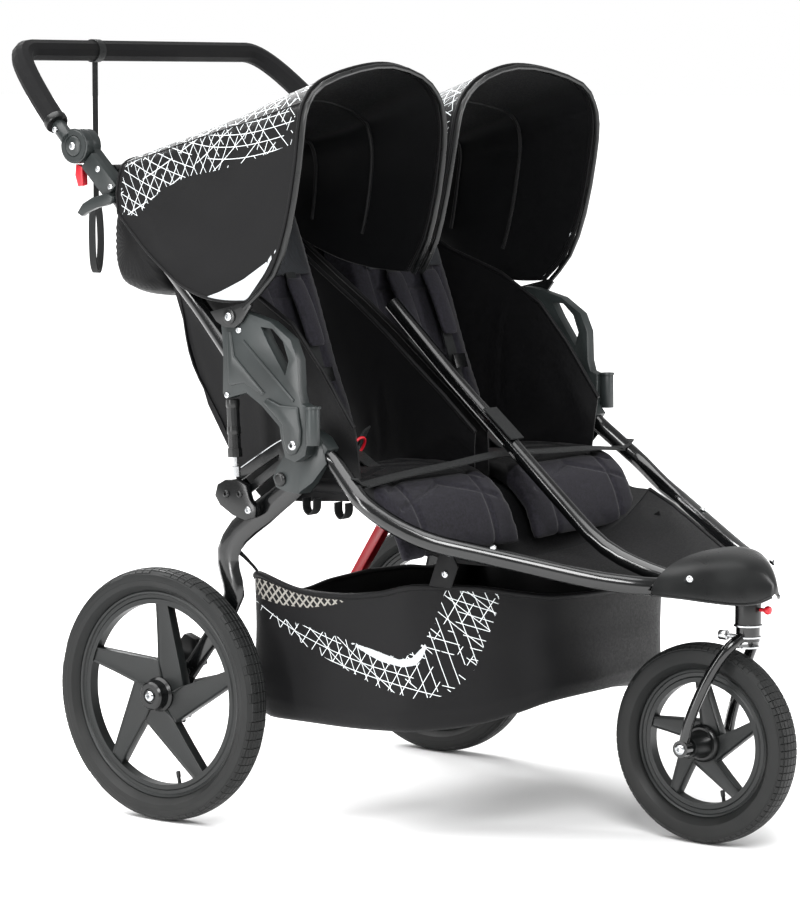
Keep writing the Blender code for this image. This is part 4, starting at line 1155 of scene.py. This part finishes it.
def make_back_pads():
    profile = [(0.512, -0.164, -0.124), (0.560, -0.153, -0.108), (0.620, -0.135, -0.082),
               (0.700, -0.104, -0.030), (0.780, -0.077, -0.004), (0.860, -0.048, 0.018),
               (0.930, -0.023, 0.026)]
    stations = [((front + 0.004, z), (rear - 0.008, z)) for z, front, rear in profile]
    pad = loft("back_pad_left", pad_rings(stations, 0.044, 0.304, -1.0))
    relax(pad, 0.006)
    lines = [((0.092, 0.50), (0.085, 0.96)), ((0.256, 0.50), (0.263, 0.96)),
             ((0.088, 0.800), (0.260, 0.800)), ((0.088, 0.700), (0.172, 0.672)),
             ((0.172, 0.672), (0.260, 0.700)), ((0.090, 0.600), (0.172, 0.570)),
             ((0.172, 0.570), (0.258, 0.600))]
    apply_modifier(pad, "SUBSURF", levels=1, render_levels=1)
    sew(pad, lines, 0.0040, 0.0050, lambda p: p.z)
    other = mirror_copy(pad, "back_pad_right")
    for piece, side in ((pad, "left"), (other, "right")):
        dress(piece, f"seat_back_{side}", HEATHER_CLOTH, (f"seat_back_{side}",),
              angle=80.0)
        ride_flattening(piece)


def make_head_pads():
    for side, sign in SIDES:
        rows = []
        for k in range(9):
            z = 0.830 + 0.100 * k / 8
            front = -0.062 + (z - 0.830) * 0.37
            bulge = math.sin(math.pi * k / 8)
            rows.append([at(sign * (0.072 + 0.204 * j / 14),
                            front - 0.0035 - 0.011 * math.sqrt(max(0.0, bulge
                                * math.sin(math.pi * j / 14))), z) for j in range(15)])
        pad = shaped_grid(f"head_pad_{side}", rows)
        apply_modifier(pad, "SOLIDIFY", thickness=0.006, offset=0.0)
        apply_modifier(pad, "SUBSURF", levels=1, render_levels=1)
        dress(pad, f"seat_back_{side}", SPACER_MESH, angle=80.0)
        ride_flattening(pad)


def make_harness():
    """Shoulder pads, straps, buckle ring and crotch strap of each seat."""
    for side, sign in SIDES:
        body = f"seat_back_{side}"
        for label, x in (("inner", 0.128), ("outer", 0.222)):
            drop = side_line([(x, -0.066, 0.838), (x, -0.094, 0.780), (x, -0.121, 0.705),
                              (x, -0.146, 0.630), (x, -0.163, 0.585)], sign)
            strap = band(f"shoulder_strap_{label}_{side}", drop, (1, 0, 0), 0.024, 0.0018)
            dress(strap, body, WEBBING)
            ride_flattening(strap)
            cover_rows = []
            spine = side_line([(x, -0.074, 0.826), (x, -0.099, 0.778), (x, -0.122, 0.722)], sign)
            for k, p in enumerate(spine):
                taper = 1.0 if 0 < k < 10 else 0.82
                cover_rows.append([p + Vector((sign * 0.020 * taper * u,
                                               -0.0045 + 0.004 * u * u, 0))
                                   for u in (-1, -0.6, 0, 0.6, 1)])
            cover = shaped_grid(f"shoulder_cover_{label}_{side}", cover_rows)
            apply_modifier(cover, "SOLIDIFY", thickness=0.0070, offset=0.0)
            apply_modifier(cover, "SUBSURF", levels=2, render_levels=2)
            dress(cover, body, HEATHER_CLOTH, angle=80.0)
            ride_flattening(cover)
            slider = plate(f"strap_slider_{label}_{side}",
                           [(-0.136, 0.690), (-0.140, 0.690), (-0.147, 0.668), (-0.143, 0.668)],
                           sign * (x - 0.016), sign * (x + 0.016), edge=0.0008)
            dress(slider, body, BLACK_RESIN)
            ride_flattening(slider)
        crotch = side_line([(0.175, -0.285, 0.5450), (0.175, -0.265, 0.5500),
                            (0.175, -0.245, 0.5620), (0.175, -0.232, 0.5690)], sign)
        strap = band(f"crotch_strap_{side}", crotch, (1, 0, 0), 0.030, 0.0020)
        dress(strap, "main_frame", WEBBING)
        ride_flattening(strap)
        flap = side_line([(0.172, -0.232, 0.572), (0.150, -0.222, 0.584),
                          (0.122, -0.214, 0.590)], sign)
        tongue = band(f"lap_strap_{side}", flap, (0, -0.5, 0.85), 0.030, 0.0022)
        dress(tongue, "main_frame", WEBBING)
        ride_flattening(tongue)
        ring = []
        for k in range(28):
            a = 2 * math.pi * k / 28
            ring.append(at(sign * 0.175, -0.238, 0.576) + Vector((
                0.0145 * math.cos(a), -0.0080 * math.sin(a), 0.0145 * math.sin(a))))
        hoop = pipe(f"buckle_ring_{side}", ring, 0.0022, 3, closed=True)
        dress(hoop, "main_frame", RED_RESIN)
        ride_flattening(hoop)


# Footwell, front strap and basket


def make_footwell():
    stations = [(-0.4380, 0.3330, 0.478, 0.404), (-0.5000, 0.3090, 0.458, 0.404),
                (-0.5600, 0.2680, 0.442, 0.400), (-0.6200, 0.2280, 0.425, 0.388),
                (-0.6900, 0.1790, 0.407, 0.377), (-0.7450, 0.1330, 0.399, 0.374)]
    rows = []
    steps = 6
    for a, b in zip(stations, stations[1:] + [stations[-1]]):
        for k in range(steps if a != b else 1):
            t = k / steps
            y, half, edge, floor = (p + (q - p) * t for p, q in zip(a, b))
            row = []
            for j in range(33):
                u = -1.0 + 2.0 * j / 32
                drop = (edge - floor) * (1 - abs(u) ** 3.2)
                ripple = 0.0016 * noise.noise(Vector((u * 4, y * 22, 2.0)))
                row.append(at(half * u, y, edge - drop + ripple * (1 - abs(u))))
            rows.append(row)
    tray = shaped_grid("footwell_cloth", rows)
    write_map(tray, rows)
    apply_modifier(tray, "SOLIDIFY", thickness=0.0030, offset=0.0)
    dress(tray, "main_frame", BLACK_CLOTH, ("footwell",), angle=60.0)
    ride_flattening(tray)
    for side, sign in SIDES:
        edge = [row[0 if sign < 0 else -1] for row in rows]
        cord(f"footwell_sleeve_{side}", edge, 0.0038, "main_frame")
    fall = ((-0.335, 0.512), (-0.375, 0.492), (-0.395, 0.455), (-0.408, 0.425), (-0.438, 0.404))
    drop_line = smooth_line([Vector((0, y, z)) for y, z in fall], 5)
    rows = []
    for number, point in enumerate(drop_line):
        low = number / (len(drop_line) - 1)
        row = []
        for j in range(33):
            u = -1.0 + 2.0 * j / 32
            lift = 0.074 * low * abs(u) ** 3.2
            row.append(at((0.312 + 0.019 * low) * u, point.y, point.z + lift))
        rows.append(row)
    sheet("calf_cloth", rows, 0.0030, "main_frame", anchor=0.45)
    strap = smooth_line([at(-0.345, -0.372, 0.5390), at(-0.250, -0.377, 0.5480),
                         at(-0.120, -0.380, 0.5540), at(0.0, -0.380, 0.5600),
                         at(0.120, -0.380, 0.5540), at(0.250, -0.377, 0.5480),
                         at(0.345, -0.372, 0.5390)], 6)
    belt = band("front_belt", strap, (0, 1, 0.15), 0.023, 0.0022)
    dress(belt, "main_frame", WEBBING, ("front_strap",))
    snap_line = smooth_line([at(0, -0.360, 0.6290), at(0, -0.381, 0.6115),
                             at(0, -0.412, 0.5850)], 5)
    cross = band("centre_snap_tab", snap_line, (1, 0, 0), 0.034, 0.0022)
    dress(cross, "main_frame", WEBBING)
    for side, sign in SIDES:
        tab_line = side_line([(0.336, -0.372, 0.5400), (0.353, -0.372, 0.5440),
                              (0.366, -0.373, 0.5530)], sign)
        tab = band(f"belt_end_tab_{side}", tab_line, (0, 1, 0.0), 0.026, 0.0024)
        dress(tab, "main_frame", WEBBING)
        for number, (y, z) in enumerate(((-0.262, 0.492), (-0.322, 0.490))):
            loop = [at(sign * 0.318, y + dy, z + dz) for dy, dz in (
                (-0.010, 0.020), (-0.009, 0.004), (0.0, -0.004), (0.009, 0.004), (0.010, 0.020))]
            tie = band(f"seat_tie_{side}_{number + 1}", smooth_line(loop, 4), (1, 0, 0), 0.018,
                       0.0020)
            dress(tie, "main_frame", WEBBING)


BASKET_HALF = [(0.100, -0.127, 0.352, 0.164), (0.180, -0.126, 0.345, 0.164),
               (0.270, -0.124, 0.372, 0.165), (0.297, -0.145, 0.386, 0.166),
               (0.300, -0.220, 0.368, 0.166), (0.300, -0.300, 0.366, 0.166),
               (0.296, -0.370, 0.374, 0.168), (0.284, -0.430, 0.388, 0.171),
               (0.240, -0.510, 0.388, 0.184), (0.190, -0.550, 0.378, 0.198),
               (0.135, -0.580, 0.370, 0.212)]
BASKET_PRINT_TOP = [(-0.126, 0.350), (-0.184, 0.324), (-0.280, 0.307), (-0.315, 0.301),
                    (-0.360, 0.291), (-0.410, 0.280), (-0.440, 0.303), (-0.458, 0.345),
                    (-0.475, 0.400)]
BASKET_PRINT_LOW = [(-0.126, 0.343), (-0.175, 0.315), (-0.233, 0.286), (-0.309, 0.258),
                    (-0.370, 0.235), (-0.430, 0.222), (-0.470, 0.228), (-0.505, 0.262),
                    (-0.525, 0.330), (-0.540, 0.400)]
BASKET_SILVER = [(-0.313, 0.300), (-0.360, 0.291), (-0.404, 0.279), (-0.425, 0.283),
                 (-0.442, 0.303), (-0.460, 0.345), (-0.452, 0.322), (-0.440, 0.285),
                 (-0.430, 0.272), (-0.410, 0.268), (-0.375, 0.274), (-0.335, 0.290)]
BASKET_NET = [(-0.128, 0.366), (-0.130, 0.3780), (-0.150, 0.3790), (-0.210, 0.3650),
              (-0.270, 0.3600), (-0.315, 0.3605), (-0.290, 0.352), (-0.240, 0.343),
              (-0.190, 0.343), (-0.145, 0.350)]


def make_basket():
    half = [at(-x, y, top) for x, y, top, low in BASKET_HALF]
    feet = [at(-x, y, low) for x, y, top, low in BASKET_HALF]
    front_top = [at(0.0, -0.592, 0.366)]
    rear_top = [at(0.0, -0.127, 0.356)]
    tops = rear_top + half + front_top
    bases = [at(0.0, -0.127, 0.164)] + feet + [at(0.0, -0.588, 0.214)]
    tops += [Vector((-p.x, p.y, p.z)) for p in reversed(half)]
    bases += [Vector((-p.x, p.y, p.z)) for p in reversed(feet)]
    top_line = smooth_line(tops + tops[:1], 12)[:-1]
    base_line = smooth_line(bases + bases[:1], 12)[:-1]
    count = len(top_line)
    rows = []
    middle = at(0, -0.350, 0)
    for k in range(-3, 49):
        row = []
        for i in range(count):
            t = max(0, k) / 48
            p = base_line[i].lerp(top_line[i], t)
            inset = 0.94 + 0.06 * min(1.0, t / 0.14) ** 0.6
            if k < 0:
                inset = (0.70, 0.86, 0.92)[k + 3]
                p.z = base_line[i].z - 0.0006 * abs(k)
            p.x *= inset
            p.y = middle.y + (p.y - middle.y) * inset
            ripple = noise.noise(Vector((i * 0.087, t * 3.0, 8.0)))
            belly = math.sin(math.pi * min(1.0, t)) * (0.0025 * ripple - 0.0010)
            p += Vector((p.x, p.y - middle.y, 0)).normalized() * belly
            row.append(p)
        rows.append(row + [row[0]])
    basket = shaped_grid("basket_cloth", rows)
    write_map(basket, rows)
    spots = [(p.y - REAR_AXLE_Y, p.z, abs(p.x)) for row in rows for p in row]
    write_zone(basket, "print_zone", [
        min(height_on(BASKET_PRINT_TOP, y) - z if y > -0.475 else 0.02,
            z - height_on(BASKET_PRINT_LOW, y), y + 0.532) if x > 0.20 else -0.02
        for y, z, x in spots])
    write_zone(basket, "silver_zone", [
        inside_by(BASKET_SILVER, y, z) if x > 0.2 else -0.02 for y, z, x in spots])
    write_zone(basket, "net_zone", [
        inside_by(BASKET_NET, y, z) if x > 0.2 else -0.02 for y, z, x in spots])
    edit_all(basket)
    bpy.ops.mesh.remove_doubles(threshold=0.00005)
    leave_edit()
    first = [p.copy() for p in rows[0][:-1]]
    inner_rows = [[p - Vector((p.x, p.y - middle.y, 0)).normalized() * 0.0032 for p in row]
                  for row in rows[3:]]
    sheet("basket_lining", inner_rows, 0.0010, "main_frame", LINING_CLOTH,
          anchor=BASKET_HEIGHT)
    apply_modifier(basket, "SOLIDIFY", thickness=0.0030, offset=0.0)
    dress(basket, "main_frame", BASKET_CLOTH, ("basket",), angle=60.0)
    ride_flattening(basket)
    bpy.ops.object.select_all(action="DESELECT")
    bpy.ops.mesh.primitive_circle_add(vertices=len(first), fill_type="NGON")
    floor = bpy.context.object
    floor.name = "basket_floor"
    for vertex, point in zip(floor.data.vertices, first):
        vertex.co = point
    apply_modifier(floor, "SOLIDIFY", thickness=0.0030, offset=0.0)
    dress(floor, "main_frame", BLACK_CLOTH)
    ride_flattening(floor)
    hem = cord("basket_hem", rows[-1][:-1], 0.0048, "main_frame", closed=True)
    ride_flattening(hem)
    for side, sign in SIDES:
        outline = [(-0.452, 0.392), (-0.492, 0.392), (-0.505, 0.424), (-0.490, 0.452),
                   (-0.470, 0.440)]
        tab = plate(f"basket_tab_{side}", outline, sign * 0.2790, sign * 0.2820, edge=0.0008)
        dress(tab, "main_frame", BLACK_CLOTH)
        ride_flattening(tab)
        screw(f"basket_snap_{side}", at(sign * 0.2820, -0.482, 0.412), (sign, 0, 0), 0.0058,
              "main_frame")
        strap = side_line([(0.292, -0.140, 0.386), (0.302, -0.120, 0.410),
                           (0.310, -0.104, 0.425)], sign)
        hanger = band(f"basket_hanger_{side}", strap, (0, 0.5, 0.6), 0.020, 0.0020)
        dress(hanger, "main_frame", WEBBING)


def make_rear_pocket():
    outline = [(0.045, 0.803), (0.045, 0.870), (0.092, 0.912), (0.095, 0.972), (0.125, 0.974),
               (0.156, 0.940), (0.163, 0.885), (0.157, 0.832), (0.135, 0.806), (0.080, 0.797)]
    smooth = smooth_line([(0, y, z) for y, z in outline + outline[:1]], 4)[:-1]
    rings = []
    for k in range(15):
        x = -0.303 + 0.606 * k / 14
        shrink = 1.0 - 0.20 * max(0.0, (abs(x) - 0.275) / 0.028)
        sag = 0.004 * noise.noise(Vector((x * 9, 1.0, 4.0)))
        rings.append([at(x, 0.105 + (p.y - 0.105) * (shrink - 0.01), 0.885
                         + (p.z - 0.885) * (shrink - 0.01) + sag) for p in smooth])
    pocket = loft("rear_pocket_cloth", rings)
    apply_modifier(pocket, "SUBSURF", levels=1, render_levels=1)
    dress(pocket, "upper_frame", BLACK_CLOTH, ("rear_pocket",), angle=70.0)


def make_wrist_strap():
    drop = smooth_line([at(-0.114, 0.346, 1.163), at(-0.113, 0.347, 1.100),
                        at(-0.114, 0.346, 1.000), at(-0.115, 0.345, 0.940)], 6)
    leash = band("wrist_strap_leash", drop, (1, 0, 0), 0.012, 0.0016)
    dress(leash, "handlebar", WEBBING, ("wrist_strap",))
    loop = [(-0.119, 0.940), (-0.124, 0.910), (-0.1245, 0.870), (-0.122, 0.835), (-0.1150, 0.821),
            (-0.108, 0.832), (-0.104, 0.868), (-0.106, 0.910), (-0.112, 0.940)]
    line = smooth_line([at(x, 0.3458, z) for x, z in loop], 5)
    hand = band("wrist_strap_loop", line, (0, 1, 0), 0.014, 0.0016)
    dress(hand, "handlebar", WEBBING)
    wrap = turned("wrist_strap_wrap", [(-0.008, 0.0172), (-0.008, 0.0186), (0.008, 0.0186),
                                       (0.008, 0.0172)], at(-0.114, 0.346, 1.180), (1, 0, 0), 36,
                  ring=True)
    dress(wrap, "handlebar", WEBBING)


make_wheels()
make_frame_parts()
make_bracket_details()
make_nose()
make_canopies()
make_seat_shells()
make_leg_pads()
make_back_pads()
make_head_pads()
make_harness()
make_footwell()
make_basket()
make_rear_pocket()
make_wrist_strap()

bpy.ops.object.select_all(action="DESELECT")
bpy.ops.mesh.primitive_plane_add(size=600.0, location=(0.0, 0.0, 0.0))
floor = bpy.context.object
floor.name = "studio_floor"
pale = bpy.data.materials.new("pale_floor")
pale.use_nodes = True
pale.node_tree.nodes["Principled BSDF"].inputs["Base Color"].default_value = (0.9, 0.9, 0.9, 1.0)
pale.node_tree.nodes["Principled BSDF"].inputs["Roughness"].default_value = 0.7
floor.data.materials.append(pale)
